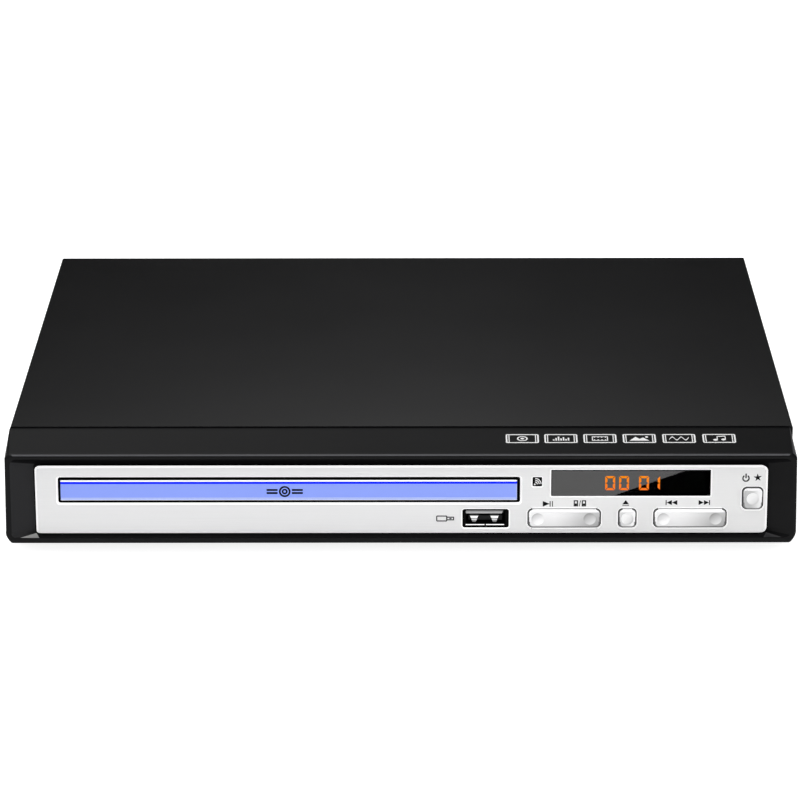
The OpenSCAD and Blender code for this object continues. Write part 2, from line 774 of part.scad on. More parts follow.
// The tray's front piece: a long bar with a bevel along its top and its lower edge
module tray_front() {
    z0 = slot_z + (slot_h - door_h) / 2;
    z1 = z0 + door_h;
    face = plate_y - 0.5;
    color([0.56, 0.64, 1]) difference() {
        along_x(slot_x - door_w / 2, slot_x + door_w / 2) polygon([
            [tray_y[0], z0], [face + 0.7, z0], [face + 0.12, z0 + 0.3], [face, z0 + 0.95],
            [face, z1 - 0.75], [face + 0.25, z1 - 0.45], [face + 0.9, z1], [tray_y[0], z1]
        ]);
        for (x = [-100, 24])
            span([x - 0.1, tray_y[0] - 1.3, tray_z[0] + 0.9], [x + 8.1, tray_y[0] + 1, deck_z + 1.1]);
    }
}

module loading_motor() {
    color([0.66, 0.66, 0.68]) difference() {
        rod_along_z(motor_at[0], motor_at[1], 10.5, floor_top + 0.4, 15.2);
        rod_along_z(motor_at[0], motor_at[1], 1.05, 11, 16);
    }
}

// A grooved wheel round the Z axis, its groove at the belt's height
module grooved(r, flange) {
    rotate_extrude() polygon([
        [0, belt_z - 1.2], [r + flange, belt_z - 1.2], [r + flange, belt_z - 0.9],
        [r, belt_z - 0.7], [r, belt_z + 0.7], [r + flange, belt_z + 0.9],
        [r + flange, belt_z + 1.2], [0, belt_z + 1.2]
    ]);
}

module motor_pulley() {
    color([0.85, 0.8, 0.62]) translate([motor_at[0], motor_at[1], 0]) {
        grooved(motor_pulley_r, 1.3);
        rod_along_z(0, 0, 1, 11.2, belt_z);
    }
}

// The outline of the belt, run round both pulleys at a distance from their grooves
module belt_outline(extra) {
    hull() {
        translate([pulley_x, gear_y]) circle(pulley_r + extra, $fn = 60);
        translate(motor_at) circle(motor_pulley_r + extra, $fn = 32);
    }
}

module drive_belt() {
    color([0.05, 0.05, 0.05]) translate([0, 0, belt_z - belt_t / 2]) linear_extrude(belt_t)
        difference() {
            belt_outline(belt_t);
            belt_outline(0.08);
        }
}

module pulley_gear() {
    color([0.9, 0.9, 0.86]) difference() {
        translate([pulley_x, gear_y, 0]) {
            grooved(pulley_r, 1.1);
            translate([0, 0, wheel_z]) rotate([0, 0, 180 / small_teeth])
                gear(gear_m, small_teeth, belt_z - wheel_z - 0.6);
        }
        rod_along_z(pulley_x, gear_y, 1.5 + run_gap, 10, 20);
    }
}

module drive_gear() {
    color([0.92, 0.92, 0.88]) difference() {
        translate([drive_x, gear_y, wheel_z]) {
            gear(gear_m, wheel_teeth, 2.4);
            rod_along_z(0, 0, 5, 0, tray_z[0] - wheel_z);
            translate([0, 0, tray_z[0] - wheel_z - 0.8]) rotate([0, 0, 180 / pinion_teeth])
                gear(gear_m, pinion_teeth, deck_z - tray_z[0] + 0.6);
        }
        rod_along_z(drive_x, gear_y, 1.5 + run_gap, 10, 25);
    }
}

// The lifting slider: a bar with two sloping slots for the traverse's pins
module cam_slider() {
    low = hinge_at[1] + (cam_pin_y - hinge_at[0]) * sin(drop_angle)
        + (cam_pin_z - hinge_at[1]) * cos(drop_angle);
    rise = cam_pin_z - low;
    color([0.75, 0.72, 0.6]) difference() {
        span([-64, -65.9, 7.6], [-7, -63.4, 18.9]);
        along_y(-70, -60)
            for (x = cam_pins)
                hull() {
                    translate([x + 0.5, low - 0.24]) circle(cam_pin_r + 0.4);
                    translate([x - cam_stroke - 0.5, low + rise + 0.24]) circle(cam_pin_r + 0.4);
                }
    }
}

module clamp_bridge() {
    color([0.7, 0.71, 0.72]) difference() {
        union() {
            span([-108.5, -58, guide_top], [36.5, -18, guide_top + 1.2]);
            for (y = [-58, -19])
                span([-96, y, guide_top], [24, y + 1, guide_top + 4.5]);
            rod_along_z(disc[0], disc[1], 21, guide_top, guide_top + 1.6);
        }
        rod_along_z(disc[0], disc[1], 13, 20, 35);
        for (x = [-105.9, 33.9], y = [-50, -26])
            rod_along_z(x, y, 1.5, 20, 35);
        for (x = [-80, 8])
            rod_along_z(x, disc[1], 9, 20, 35);
    }
}

// The puck that clamps the disc from above, hollow below for the hub
module clamp_puck() {
    color([0.15, 0.15, 0.16]) translate([disc[0], disc[1], 0]) difference() {
        union() {
            rod_along_z(0, 0, 12.2, 26.5, guide_top + 2.4);
            rod_along_z(0, 0, 15, guide_top + 1.65, guide_top + 2.7);
        }
        rod_along_z(0, 0, 8.6, 26, 28.6);
        difference() {
            rod_along_z(0, 0, 10.6, guide_top + 1.9, 32);
            rod_along_z(0, 0, 4, guide_top + 1, 33);
        }
    }
}

// ---- Traverse ------------------------------------------------------------

module traverse_frame() {
    color([0.22, 0.22, 0.23]) lowered() {
        difference() {
            union() {
                span([frame_x[0], frame_y[0], frame_z[0]], [frame_x[1], frame_y[1], frame_z[1]]);
                span([-60, -59, frame_z[1] - 1], [-12, -24, frame_z[1] + 1.6]);
                rod_along_x(hinge_at[0], hinge_at[1], 1.5, -78.6, 6.6);
                for (x = cam_pins)
                    rod_along_y(x, cam_pin_z, cam_pin_r, -66.6, frame_y[0] + 1);
            }
            span([-66, -24, 0], [-6, 46, 30]);
            span([-68.6, -57, 0], [-3.4, -26, frame_z[1]]);
            span([-55, 48.5, 0], [-6, 52, 30]);
            span([-68.5, 49, 0], [-56.5, 60, 30]);
            rod_along_z(disc[0], disc[1], 3.4, 10, 30);
            for (x = rods)
                rod_along_y(x, rod_z, rod_r + 0.01, -26, 48.4);
            rod_along_y(screw_at[0], screw_at[1], 1.05, -26, 50);
        }
    }
}

module spindle_motor() {
    color([0.7, 0.7, 0.72]) lowered() difference() {
        union() {
            rod_along_z(disc[0], disc[1], spindle_motor_d / 2, frame_z[1] - 6, frame_z[1]);
            rod_along_z(disc[0], disc[1], 3, frame_z[1] - 1, frame_z[1] + 1.6);
        }
        rod_along_z(disc[0], disc[1], 1 + run_gap, frame_z[1] - 5.4, frame_z[1] + 3);
    }
}

module turntable() {
    color([0.14, 0.14, 0.15]) lowered() translate([disc[0], disc[1], 0]) rotate_extrude() polygon([
        [0, frame_z[1] - 5], [1, frame_z[1] - 5], [1, frame_z[1] + 1.9], [3.2, frame_z[1] + 1.9],
        [3.2, seat_z - 1.6], [14, seat_z - 1.6], [14, seat_z], [7.4, seat_z],
        [7.3, seat_z + 0.9], [5.6, seat_z + 2], [0, seat_z + 2]
    ]);
}

module turntable_mat() {
    color([0.03, 0.03, 0.03]) lowered() translate([disc[0], disc[1], 0]) difference() {
        rod_along_z(0, 0, 13.8, seat_z, seat_z + 0.3);
        rod_along_z(0, 0, 9.6, seat_z - 1, seat_z + 1);
    }
}

module guide_rods() {
    color([0.8, 0.81, 0.82]) lowered()
        for (x = rods)
            rod_along_y(x, rod_z, rod_r, -26, 48.4);
}

module pickup_sled() {
    y0 = lens_at[1] - 9.8;
    y1 = lens_at[1] + 18;
    color([0.3, 0.3, 0.31]) lowered() difference() {
        union() {
            span([-53, y0, 11.8], [-19, y1, 18.4]);
            span([-60.4, y0 + 2, 13], [-52, y1 - 2, 18.4]);
            span([-20, y0 + 6, 13], [-12, y1 - 6, 18.4]);
            span([-65, y0 + 9, 12.2], [-59, y0 + 16, 16.8]);
        }
        rod_along_y(rods[0], rod_z, rod_r + run_gap, -60, 60);
        rod_along_y(screw_at[0], screw_at[1], rod_r + 0.1, -60, 60);
        span([rods[1] - 1.8, -60, rod_z - rod_r - 0.08], [0, 60, rod_z + rod_r + 0.08]);
        span([lens_at[0] - 8, lens_at[1] - 7, 14], [lens_at[0] + 8, lens_at[1] + 9, 20]);
    }
}

module lens_holder() {
    color([0.12, 0.12, 0.13]) lowered() difference() {
        union() {
            span([lens_at[0] - 6.5, lens_at[1] - 5.5, 15], [lens_at[0] + 6.5, lens_at[1] + 7.5, 19]);
            rod_along_z(lens_at[0], lens_at[1], 4, 18, 20.8);
        }
        rod_along_z(lens_at[0], lens_at[1], 2.4, 14, 22);
    }
}

module objective_lens() {
    color([0.6, 0.7, 0.9, 0.6]) lowered() intersection() {
        rod_along_z(lens_at[0], lens_at[1], 2.4, 19.2, 22);
        translate([lens_at[0], lens_at[1], 17.6]) sphere(r = 3.7);
    }
}

module feed_motor() {
    color([0.7, 0.7, 0.72]) lowered() difference() {
        union() {
            rod_along_y(screw_at[0], screw_at[1], 4.4, 49.2, 57.8);
            span([screw_at[0] - 5.6, 49.2, 11.9], [screw_at[0] + 5.6, 50.2, 17.1]);
        }
        rod_along_y(screw_at[0], screw_at[1], 1 + run_gap, 48, 56);
    }
}

module lead_screw() {
    color([0.78, 0.79, 0.8]) lowered() {
        rod_along_y(screw_at[0], screw_at[1], rod_r, -23.6, 45.6);
        rod_along_y(screw_at[0], screw_at[1], 1, -25.6, 55.6);
    }
}

// ---- Boards --------------------------------------------------------------

module floor_board(lo, hi) {
    difference() {
        span([lo[0], lo[1], board_z], [hi[0], hi[1], board_top]);
        for (p = board_posts)
            rod_along_z(p[0], p[1], 1.3, 5, 20);
    }
}

module main_board() {
    color([0.08, 0.3, 0.15]) floor_board([44, -88], [122, -10]);
}

module power_board() {
    color([0.62, 0.5, 0.3]) floor_board([44, 0], [122, 85]);
}

module av_board() {
    color([0.08, 0.3, 0.15]) floor_board([-64, 78], [-2, 98]);
}

module board_chips() {
    color([0.05, 0.05, 0.05]) {
        span([72, -60, board_top], [94, -38, board_top + 1.8]);
        span([72, -32, board_top], [94, -21, board_top + 1.2]);
        span([54, -44, board_top], [62, -32, board_top + 1.5]);
        span([102, -52, board_top], [109, -46, board_top + 1.5]);
    }
}

module board_connectors() {
    color([0.9, 0.89, 0.84]) {
        span([84, -82, board_top], [106, -77, board_top + 5]);
        span([46, -70, board_top], [51, -48, board_top + 4]);
        span([60, -16, board_top], [74, -11, board_top + 6]);
        span([60, 2, board_top], [74, 7, board_top + 6]);
        span([84, key_board_y + board_t, 20], [106, key_board_y + board_t + 4.4, 25]);
        span([-46, 80, board_top], [-26, 83.6, board_top + 4]);
    }
}

// The flat cable between the key board and the main board, hung in one smooth sag
module front_ribbon() {
    y0 = key_board_y + board_t + 4.4;
    y1 = -82;
    z0 = 22.5;
    z1 = 16;
    t = 0.5;
    steps = 12;
    line = [for (i = [0 : steps])
        let (s = i / steps) [y0 + (y1 - y0) * s, z0 + (z1 - z0) * (1 - cos(180 * s)) / 2]];
    color([0.8, 0.8, 0.78]) along_x(86, 104) polygon(concat(
        [for (p = line) p + [0, t / 2]],
        [for (i = [steps : -1 : 0]) line[i] - [0, t / 2]]
    ));
}

module transformer() {
    color([0.75, 0.6, 0.2]) {
        span([58, 44, board_top], [80, 64, board_top + 3]);
        span([60, 46, board_top + 3], [78, 62, board_top + 13]);
        span([57, 50, board_top + 3], [81, 58, board_top + 16]);
    }
}

module power_capacitors() {
    color([0.1, 0.12, 0.3]) {
        rod_along_z(96, 52, 8, board_top, board_top + 21);
        rod_along_z(54, 26, 5, board_top, board_top + 16);
        rod_along_z(54, 14, 4, board_top, board_top + 12);
        rod_along_z(112, 22, 5, board_top, board_top + 16);
    }
}

// A comb of upright fins on a base plate
module heatsink() {
    color([0.75, 0.76, 0.78]) {
        span([68, 24, board_top], [100, 26, board_top + 19]);
        for (x = [68 : 5 : 98])
            span([x, 25, board_top], [x + 1.4, 34, board_top + 19]);
    }
}

module fuse() {
    color([0.85, 0.86, 0.88]) {
        rod_along_y(112, board_top + 4.2, 2.5, 44, 64);
        for (y = [44, 59])
            span([109, y, board_top], [115, y + 5, board_top + 3]);
    }
}

// ---- Sockets at the back -------------------------------------------------

// One phono socket's moulded housing, with a collar that fills the panel's hole
module jack_housing(x) {
    difference() {
        union() {
            span([x - 7.8, 84, board_top], [x + 7.8, panel_in - 0.05, 27.6]);
            rod_along_y(x, jack_z, 5.3, 98, panel_out + 0.8);
        }
        rod_along_y(x, jack_z, jack_ring_r, 92, 105);
    }
}

module av_jack_block() {
    color([0.06, 0.06, 0.06])
        for (x = jacks)
            jack_housing(x);
}

module av_jack_shells() {
    color([0.8, 0.8, 0.78])
        for (x = jacks)
            difference() {
                rod_along_y(x, jack_z, jack_ring_r, 92, jack_tip);
                rod_along_y(x, jack_z, jack_ring_r - 0.55, 91, jack_tip + 1);
            }
}

// The coloured insulator in a jack, with the bore of the centre contact
module jack_core(x) {
    difference() {
        rod_along_y(x, jack_z, jack_ring_r - 0.55, 94, jack_tip - 0.6);
        rod_along_y(x, jack_z, jack_bore_r, jack_tip - 9.6, jack_tip + 1);
    }
}

module video_jack() {
    color([0.95, 0.8, 0.1]) jack_core(jacks[0]);
}

module audio_left_jack() {
    color([0.93, 0.93, 0.92]) jack_core(jacks[1]);
}

module audio_right_jack() {
    color([0.8, 0.1, 0.1]) jack_core(jacks[2]);
}

// The figure-of-eight outline of the mains inlet
module inlet_outline(grow) {
    for (side = [-1, 1])
        translate([inlet_x + side * pin_pitch / 2, inlet_z]) circle(4.2 + grow);
    translate([inlet_x - pin_pitch / 2, inlet_z - 2.9 - grow]) square([pin_pitch, 5.8 + 2 * grow]);
}

module mains_inlet() {
    color([0.07, 0.07, 0.07]) difference() {
        union() {
            along_y(86, panel_out + 0.5) rounded_at([inlet_x, inlet_z], [24.8, 15.4], 1);
            along_y(panel_out, panel_out + 2) rounded_at([inlet_x, inlet_z], [29, 19], 1.5);
        }
        along_y(panel_out - 9.5, panel_out + 3) inlet_outline(0);
        for (side = [-1, 1])
            rod_along_y(inlet_x + side * pin_pitch / 2, inlet_z, pin_r, 84, panel_out);
    }
}

module inlet_pins() {
    color([0.82, 0.76, 0.5])
        for (side = [-1, 1])
            translate([inlet_x + side * pin_pitch / 2, 84.5, inlet_z]) rotate([-90, 0, 0])
                rotate_extrude() polygon([
                    [0, 0], [pin_r, 0], [pin_r, 14.6], [pin_r - 0.35, 15.5], [0, 15.9]
                ]);
}

// ---- Output --------------------------------------------------------------

bottom_chassis();
top_cover();
rear_panel();
front_bezel();
front_plate();
display_window();
ir_window();
rubber_feet();
cover_screws();
chassis_screws();
front_board();
led_display();
key_switches();
ir_receiver();
usb_shell();
usb_tongue();
play_channel_button();
eject_button();
skip_button();
power_button();
loader_base();
disc_tray();
tray_front();
loading_motor();
motor_pulley();
drive_belt();
pulley_gear();
drive_gear();
cam_slider();
clamp_bridge();
clamp_puck();
traverse_frame();
damper_bushes();
spindle_motor();
turntable();
turntable_mat();
guide_rods();
pickup_sled();
lens_holder();
objective_lens();
feed_motor();
lead_screw();
power_board();
transformer();
power_capacitors();
heatsink();
fuse();
main_board();
board_chips();
board_connectors();
av_board();
av_jack_block();
av_jack_shells();
video_jack();
audio_left_jack();
audio_right_jack();
mains_inlet();
inlet_pins();
front_ribbon();
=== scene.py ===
# %% [markdown]
# # A compact disc player, dressed for its portrait
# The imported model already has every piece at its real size, with its joints. This lesson gives
# the pieces their finish: rounded edges, paint, brushed metal, smoked plastic, a lit display and
# the signs printed beside the keys. First the model is loaded as a frame that nothing here moves.

# %% Load the frame
import json
import math

import bmesh
import bpy
import numpy as np
from mathutils import Matrix, Vector


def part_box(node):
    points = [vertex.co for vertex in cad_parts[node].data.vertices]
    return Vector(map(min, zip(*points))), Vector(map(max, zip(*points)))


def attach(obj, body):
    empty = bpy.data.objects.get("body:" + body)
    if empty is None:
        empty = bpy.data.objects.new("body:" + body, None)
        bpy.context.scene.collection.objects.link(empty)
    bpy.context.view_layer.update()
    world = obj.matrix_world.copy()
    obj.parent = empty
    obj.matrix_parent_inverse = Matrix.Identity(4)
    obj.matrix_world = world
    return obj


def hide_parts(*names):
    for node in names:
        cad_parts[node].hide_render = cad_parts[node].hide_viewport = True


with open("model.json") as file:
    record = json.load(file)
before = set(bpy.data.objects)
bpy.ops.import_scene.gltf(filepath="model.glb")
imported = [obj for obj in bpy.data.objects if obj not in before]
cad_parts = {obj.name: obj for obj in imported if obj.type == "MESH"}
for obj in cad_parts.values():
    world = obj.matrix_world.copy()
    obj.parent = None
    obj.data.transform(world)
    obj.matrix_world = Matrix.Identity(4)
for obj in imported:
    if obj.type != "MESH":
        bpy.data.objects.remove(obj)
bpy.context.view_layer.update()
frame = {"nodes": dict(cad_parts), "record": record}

MM = 0.001
NODES = frame["nodes"]
BODY_OF = {n: b for b, names in frame["record"]["behaviour"]["bodies"].items() for n in names}
SLOT_OF = {p["node"]: p["material_slot"] for p in frame["record"]["subparts"]}


def edges_of(node):
    """The lowest and highest corner of a node as two numpy arrays in millimetres."""
    low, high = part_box(node)
    return np.array(low) / MM, np.array(high) / MM


def in_scene(name, data):
    """A new object with this mesh, lamp or camera, placed in the scene."""
    made = bpy.data.objects.new(name, data)
    bpy.context.scene.collection.objects.link(made)
    return made


# %% [markdown]
# # The camera
# The player is seen from in front and well above, through a long lens, so its sides hardly
# converge. The camera's three axes are worked out from its pitch, yaw and roll.

# %% Camera
LENS_PX = 3858.4
SENSOR = 36.0
FRAME_PX = 800
PITCH, YAW, ROLL = (math.radians(a) for a in (18.4237, -0.3067, -0.1603))
EYE = Vector((6.278, -1282.204, 444.095)) * MM

forward = Vector((math.sin(YAW) * math.cos(PITCH), math.cos(YAW) * math.cos(PITCH), -math.sin(PITCH)))
level = Vector((math.cos(YAW), -math.sin(YAW), 0))
upward = level.cross(forward)
right = math.cos(ROLL) * level + math.sin(ROLL) * upward
up = math.cos(ROLL) * upward - math.sin(ROLL) * level

camera = in_scene("camera", bpy.data.cameras.new("camera"))
camera.data.lens = LENS_PX * SENSOR / FRAME_PX
camera.data.sensor_width = SENSOR
camera.matrix_world = Matrix.Translation(EYE) @ Matrix((right, up, -forward)).transposed().to_4x4()
bpy.context.scene.camera = camera
bpy.context.scene.view_settings.view_transform = "Standard"
print("lens", round(camera.data.lens, 1), "mm")

# %% [markdown]
# # Small tools for surfaces
# Every new piece is a grid of points. One helper joins a grid into faces, one closes a row of
# loops into a skin, and one turns points and faces into an object. Another gives a rounded
# rectangle as a loop, with the same number of points whatever its size, so that loops can be
# skinned one to the next.

# %% Grids, loops and objects


def ramp(value, start, length):
    """A share from 0 where value is at `start` to 1 where it is `length` further, and level beyond."""
    return np.clip((value - start) / length, 0, 1)


def grid_faces(rows, columns, closed=False):
    """Quads between neighbours of a rows by columns grid; closed joins the last column to the first."""
    row = np.arange(rows - 1)[:, None]
    column = np.arange(columns if closed else columns - 1)[None, :]
    beside = (column + 1) % columns
    quads = [row * columns + column, row * columns + beside,
             (row + 1) * columns + beside, (row + 1) * columns + column]
    return np.stack(np.broadcast_arrays(*quads), -1).reshape(-1, 4)


def skinned(loops, both_ends=True):
    """The points and faces of a skin over loops with equally many points, closed over the first
    loop and, with `both_ends`, over the last."""
    count = len(loops[0])
    faces = [list(f) for f in grid_faces(len(loops), count, closed=True)]
    faces.append(list(range(count)))
    if both_ends:
        faces.append(list(range((len(loops) - 1) * count, len(loops) * count)))
    return np.concatenate(loops), faces


def make_object(name, points, faces, smooth=True):
    """An object whose mesh has these points, in millimetres, and these faces, pointing outwards."""
    mesh = bpy.data.meshes.new(name)
    mesh.from_pydata((np.asarray(points) * MM).tolist(), [], [list(map(int, f)) for f in faces])
    work = bmesh.new()
    work.from_mesh(mesh)
    bmesh.ops.remove_doubles(work, verts=work.verts, dist=1e-7)
    bmesh.ops.dissolve_degenerate(work, edges=work.edges, dist=1e-7)
    bmesh.ops.recalc_face_normals(work, faces=work.faces)
    work.to_mesh(mesh)
    work.free()
    mesh.polygons.foreach_set("use_smooth", [smooth] * len(mesh.polygons))
    return in_scene(name, mesh)


def rounded_loop(half_w, half_h, radius, across=8, up_side=4, bend=6):
    """A rounded rectangle round the middle: four arcs of `radius`, joined by straight stretches
    that have `across` steps along the top and bottom and `up_side` steps at the sides."""
    radius = min(radius, half_w, half_h)
    turn = np.linspace(0, np.pi / 2, bend + 1)
    signs = [(1, 1), (-1, 1), (-1, -1), (1, -1)]
    arcs = [np.stack([sx * (half_w - radius) + radius * np.cos(turn + q * np.pi / 2),
                      sz * (half_h - radius) + radius * np.sin(turn + q * np.pi / 2)], -1)
            for q, (sx, sz) in enumerate(signs)]
    loop = []
    for q in range(4):
        steps = across if q % 2 == 0 else up_side
        share = np.linspace(0, 1, steps + 1)[1:-1, None]
        loop += [arcs[q], arcs[q][-1] * (1 - share) + arcs[(q + 1) % 4][0] * share]
    return np.concatenate(loop)


def on_front(loop, centre, y):
    """A loop drawn in x and z, placed round a centre on the plane at depth y."""
    return np.stack([loop[:, 0] + centre[0], np.broadcast_to(y, len(loop)), loop[:, 1] + centre[1]], -1)


print("a test loop has", len(rounded_loop(10, 3, 1)), "points")

# %% [markdown]
# # Rounded copies of the imported nodes
# A imported node is a bag of loose triangles with knife edges, and no real edge is that sharp: a
# moulding or a folded sheet shows a thin line of light along each. So a node that is seen gets a
# copy whose triangles are welded, whose flat faces are joined and whose outer edges are rounded.
# The rounded faces are marked in an attribute, which the materials use for edge wear and for
# painted highlight lines.
# The bevel could be a live modifier, but then the mark would be lost.

# %% The rounding function


def softened(node, width, pick=None):
    """A copy of a node with welded triangles and outer edges rounded by `width` mm. Edges whose
    faces meet at more than 32 degrees are rounded. With `pick`, only the edges that it takes are,
    and each by the full width; otherwise all widths shrink until the narrowest has room."""
    work = bmesh.new()
    work.from_mesh(NODES[node].data)
    for layer in list(work.loops.layers.float_vector.values()):
        work.loops.layers.float_vector.remove(layer)
    bmesh.ops.remove_doubles(work, verts=work.verts, dist=2e-6)
    bmesh.ops.dissolve_degenerate(work, edges=work.edges, dist=1e-6)
    bmesh.ops.dissolve_limit(work, angle_limit=math.radians(0.6), verts=work.verts, edges=work.edges,
                             use_dissolve_boundaries=False)
    wear_and_highlight = work.faces.layers.float.new("wear_and_highlight")
    limit = math.radians(32)
    picked = [e for e in work.edges if e.is_manifold and e.is_convex and e.calc_face_angle(0) > limit
              and (pick is None or pick(e))]
    if picked:
        done = bmesh.ops.bevel(work, geom=picked, offset=width * MM, offset_type="OFFSET",
                               segments=2, profile=0.5, affect="EDGES", clamp_overlap=not pick)
        # Each rounded face is marked; the materials lighten it as edge wear, and strongly as a painted
        # highlight.
        for face in done["faces"]:
            face[wear_and_highlight] = 1.0
    mesh = bpy.data.meshes.new(node + "_finished")
    work.to_mesh(mesh)
    work.free()
    mesh.polygons.foreach_set("use_smooth", [True] * len(mesh.polygons))
    mesh.set_sharp_from_angle(angle=math.radians(50))
    made = in_scene(mesh.name, mesh)
    shading = made.modifiers.new("even_shading", "WEIGHTED_NORMAL")
    shading.keep_sharp = True
    return made


print("rounded copies can be made of", len(NODES), "nodes")

# %% [markdown]
# # Dressing, measuring and moving
# A finished piece is dressed with its materials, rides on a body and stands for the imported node
# that it replaces. Its faces and corners are read as whole arrays, so that a finish can be chosen
# by where a face lies, and a corner moved by a formula.

# %% Handling a piece


def dress(piece, material, body, *stands_for, slot=None):
    """Gives a piece its material or materials, its body and the nodes that it stands for."""
    piece.data.materials.clear()
    for one in material if isinstance(material, (list, tuple)) else [material]:
        piece.data.materials.append(one)
    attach(piece, body)
    if stands_for:
        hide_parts(*stands_for)
    return piece


def faces_of(piece):
    """Middles in millimetres and normals of a piece's faces, and how far each face tilts up or
    down: 0 degrees faces the viewer, 90 up, -90 down."""
    middle, normal = np.zeros((2, len(piece.data.polygons) * 3))
    piece.data.polygons.foreach_get("center", middle)
    piece.data.polygons.foreach_get("normal", normal)
    middle, normal = middle.reshape(-1, 3) / MM, normal.reshape(-1, 3)
    return middle, normal, np.degrees(np.arctan2(normal[:, 2], -normal[:, 1]))


def corners_of(piece):
    """The corners of a piece in millimetres."""
    corners = np.zeros(len(piece.data.vertices) * 3)
    piece.data.vertices.foreach_get("co", corners)
    return corners.reshape(-1, 3) / MM


def move_corners(piece, corners):
    """Puts a piece's corners at these places, in millimetres."""
    piece.data.vertices.foreach_set("co", (corners * MM).ravel())
    piece.data.update()


def wear_and_highlight_of(piece):
    """How much edge wear and painted highlight each face takes, from 0 to 1."""
    share = np.zeros(len(piece.data.polygons), np.float32)
    piece.data.attributes["wear_and_highlight"].data.foreach_get("value", share)
    return share


def set_wear_and_highlight(piece, share):
    """Sets how much edge wear and painted highlight each face takes."""
    piece.data.attributes["wear_and_highlight"].data.foreach_set("value", np.asarray(share, np.float32))


def choose_finish(piece, kind):
    """Gives each face one of the piece's materials, by its number in their list."""
    piece.data.polygons.foreach_set("material_index", np.asarray(kind, np.int32))


def thicken(piece, name, thick):
    """Gives a flat piece its thickness in mm, half of it on each side."""
    sheet = piece.modifiers.new(name, "SOLIDIFY")
    sheet.thickness = thick * MM
    sheet.offset = 0.0


def set_painted_sheen(piece, sheen):
    """Keeps the painted sheen, painted highlight and shade, as a value at each corner, by which the keys'
    silver fades.
    """
    layer = piece.data.attributes.new("painted_sheen", "FLOAT", "POINT")
    layer.data.foreach_set("value", np.asarray(sheen, np.float32))


print("the case has", sum(body == "case" for body in BODY_OF.values()), "nodes to dress")

# %% [markdown]
# # Shared effects for the finishes
# Four patterns cover the whole player: the fine grain of paint and moulded plastic, the long
# lines of brushed metal, the crystals of a zinc coat, and the weave of a circuit board. Each is a
# node group that puts out a tone and a height, so that one call can place any of them. They differ
# in their fine pattern only, and all mix its tone with a broad, cloudy noise. They read Object
# coordinates, because every piece lies at the world's origin with its place in its mesh.

# %% Pattern groups


def set_inputs(node, **values):
    """Sets a node's inputs; an underscore stands for the space in an input's name."""
    for key, value in values.items():
        node.inputs[key.replace("_", " ")].default_value = value


def node_in(tree, kind, links=None, **values):
    """A node with its properties and inputs set; links maps an input to the socket that feeds it."""
    made = tree.nodes.new(kind)
    for key, value in values.items():
        if hasattr(made, key) and key not in made.inputs:
            setattr(made, key, value)
        else:
            set_inputs(made, **{key: value})
    for key, socket in (links or {}).items():
        tree.links.new(socket, made.inputs[key])
    return made


def new_material(name):
    """A new material, its node tree and its Principled shader."""
    made = bpy.data.materials.new(name)
    made.use_nodes = True
    return made, made.node_tree, made.node_tree.nodes["Principled BSDF"]


def math_in(tree, operation, first, second):
    """A Math node; each operand is a number or a socket."""
    made = tree.nodes.new("ShaderNodeMath")
    made.operation = operation
    for index, value in enumerate((first, second)):
        if isinstance(value, (int, float)):
            made.inputs[index].default_value = value
        else:
            tree.links.new(value, made.inputs[index])
    return made.outputs[0]


def fine_grain(group, place, scale):
    """Fine grain: a small noise."""
    noise = node_in(group, "ShaderNodeTexNoise", {"Vector": place, "Scale": scale},
                    Detail=3.0, Roughness=0.55)
    return noise.outputs[0], noise.outputs[0]


def brushed_lines(group, place, scale):
    """Brushed metal: noise that is stretched along X, so that it draws long thin lines."""
    stretch = node_in(group, "ShaderNodeMapping", {"Vector": place}, Scale=(0.006, 1.0, 1.0))
    noise = node_in(group, "ShaderNodeTexNoise", {"Vector": stretch.outputs[0], "Scale": scale},
                    Detail=4.0, Roughness=0.7)
    return noise.outputs[0], noise.outputs[0]


def zinc_crystals(group, place, scale):
    """Zinc crystals: each Voronoi cell takes one tone and falls towards its middle."""
    cells = node_in(group, "ShaderNodeTexVoronoi", {"Vector": place, "Scale": scale})
    split = node_in(group, "ShaderNodeSeparateColor", {"Color": cells.outputs["Color"]})
    return split.outputs[0], cells.outputs["Distance"]


def board_weave(group, place, scale):
    """Glass cloth under lacquer: two sets of waves at right angles."""
    warp, weft = (node_in(group, "ShaderNodeTexWave", {"Vector": place, "Scale": scale},
                          bands_direction=way).outputs["Fac"] for way in "XY")
    cloth = math_in(group, "MULTIPLY", warp, weft)
    return cloth, cloth


def pattern_group(draw, scale, cloud, share, detail, stretch=None):
    """A node group with inputs Scale and Cloud: `draw` makes the fine pattern's tone and height, and
    a broad noise is mixed with the tone, the fine one by `share`. `stretch` draws the noise out."""
    group = bpy.data.node_groups.new(draw.__name__, "ShaderNodeTree")
    for label, value in (("Scale", scale), ("Cloud", cloud)):
        made = group.interface.new_socket(label, in_out="INPUT", socket_type="NodeSocketFloat")
        made.default_value = value
    for label in ("Tone", "Height"):
        group.interface.new_socket(label, in_out="OUTPUT", socket_type="NodeSocketFloat")
    given, out = group.nodes.new("NodeGroupInput"), group.nodes.new("NodeGroupOutput")
    place = node_in(group, "ShaderNodeTexCoord").outputs["Object"]
    fine, height = draw(group, place, given.outputs["Scale"])
    if stretch:
        place = node_in(group, "ShaderNodeMapping", {"Vector": place}, Scale=stretch).outputs[0]
    broad = node_in(group, "ShaderNodeTexNoise", {"Vector": place, "Scale": given.outputs["Cloud"]},
                    Detail=detail)
    tone = math_in(group, "ADD", math_in(group, "MULTIPLY", fine, share),
                   math_in(group, "MULTIPLY", broad.outputs[0], 1 - share))
    group.links.new(tone, out.inputs["Tone"])
    group.links.new(height, out.inputs["Height"])
    return group


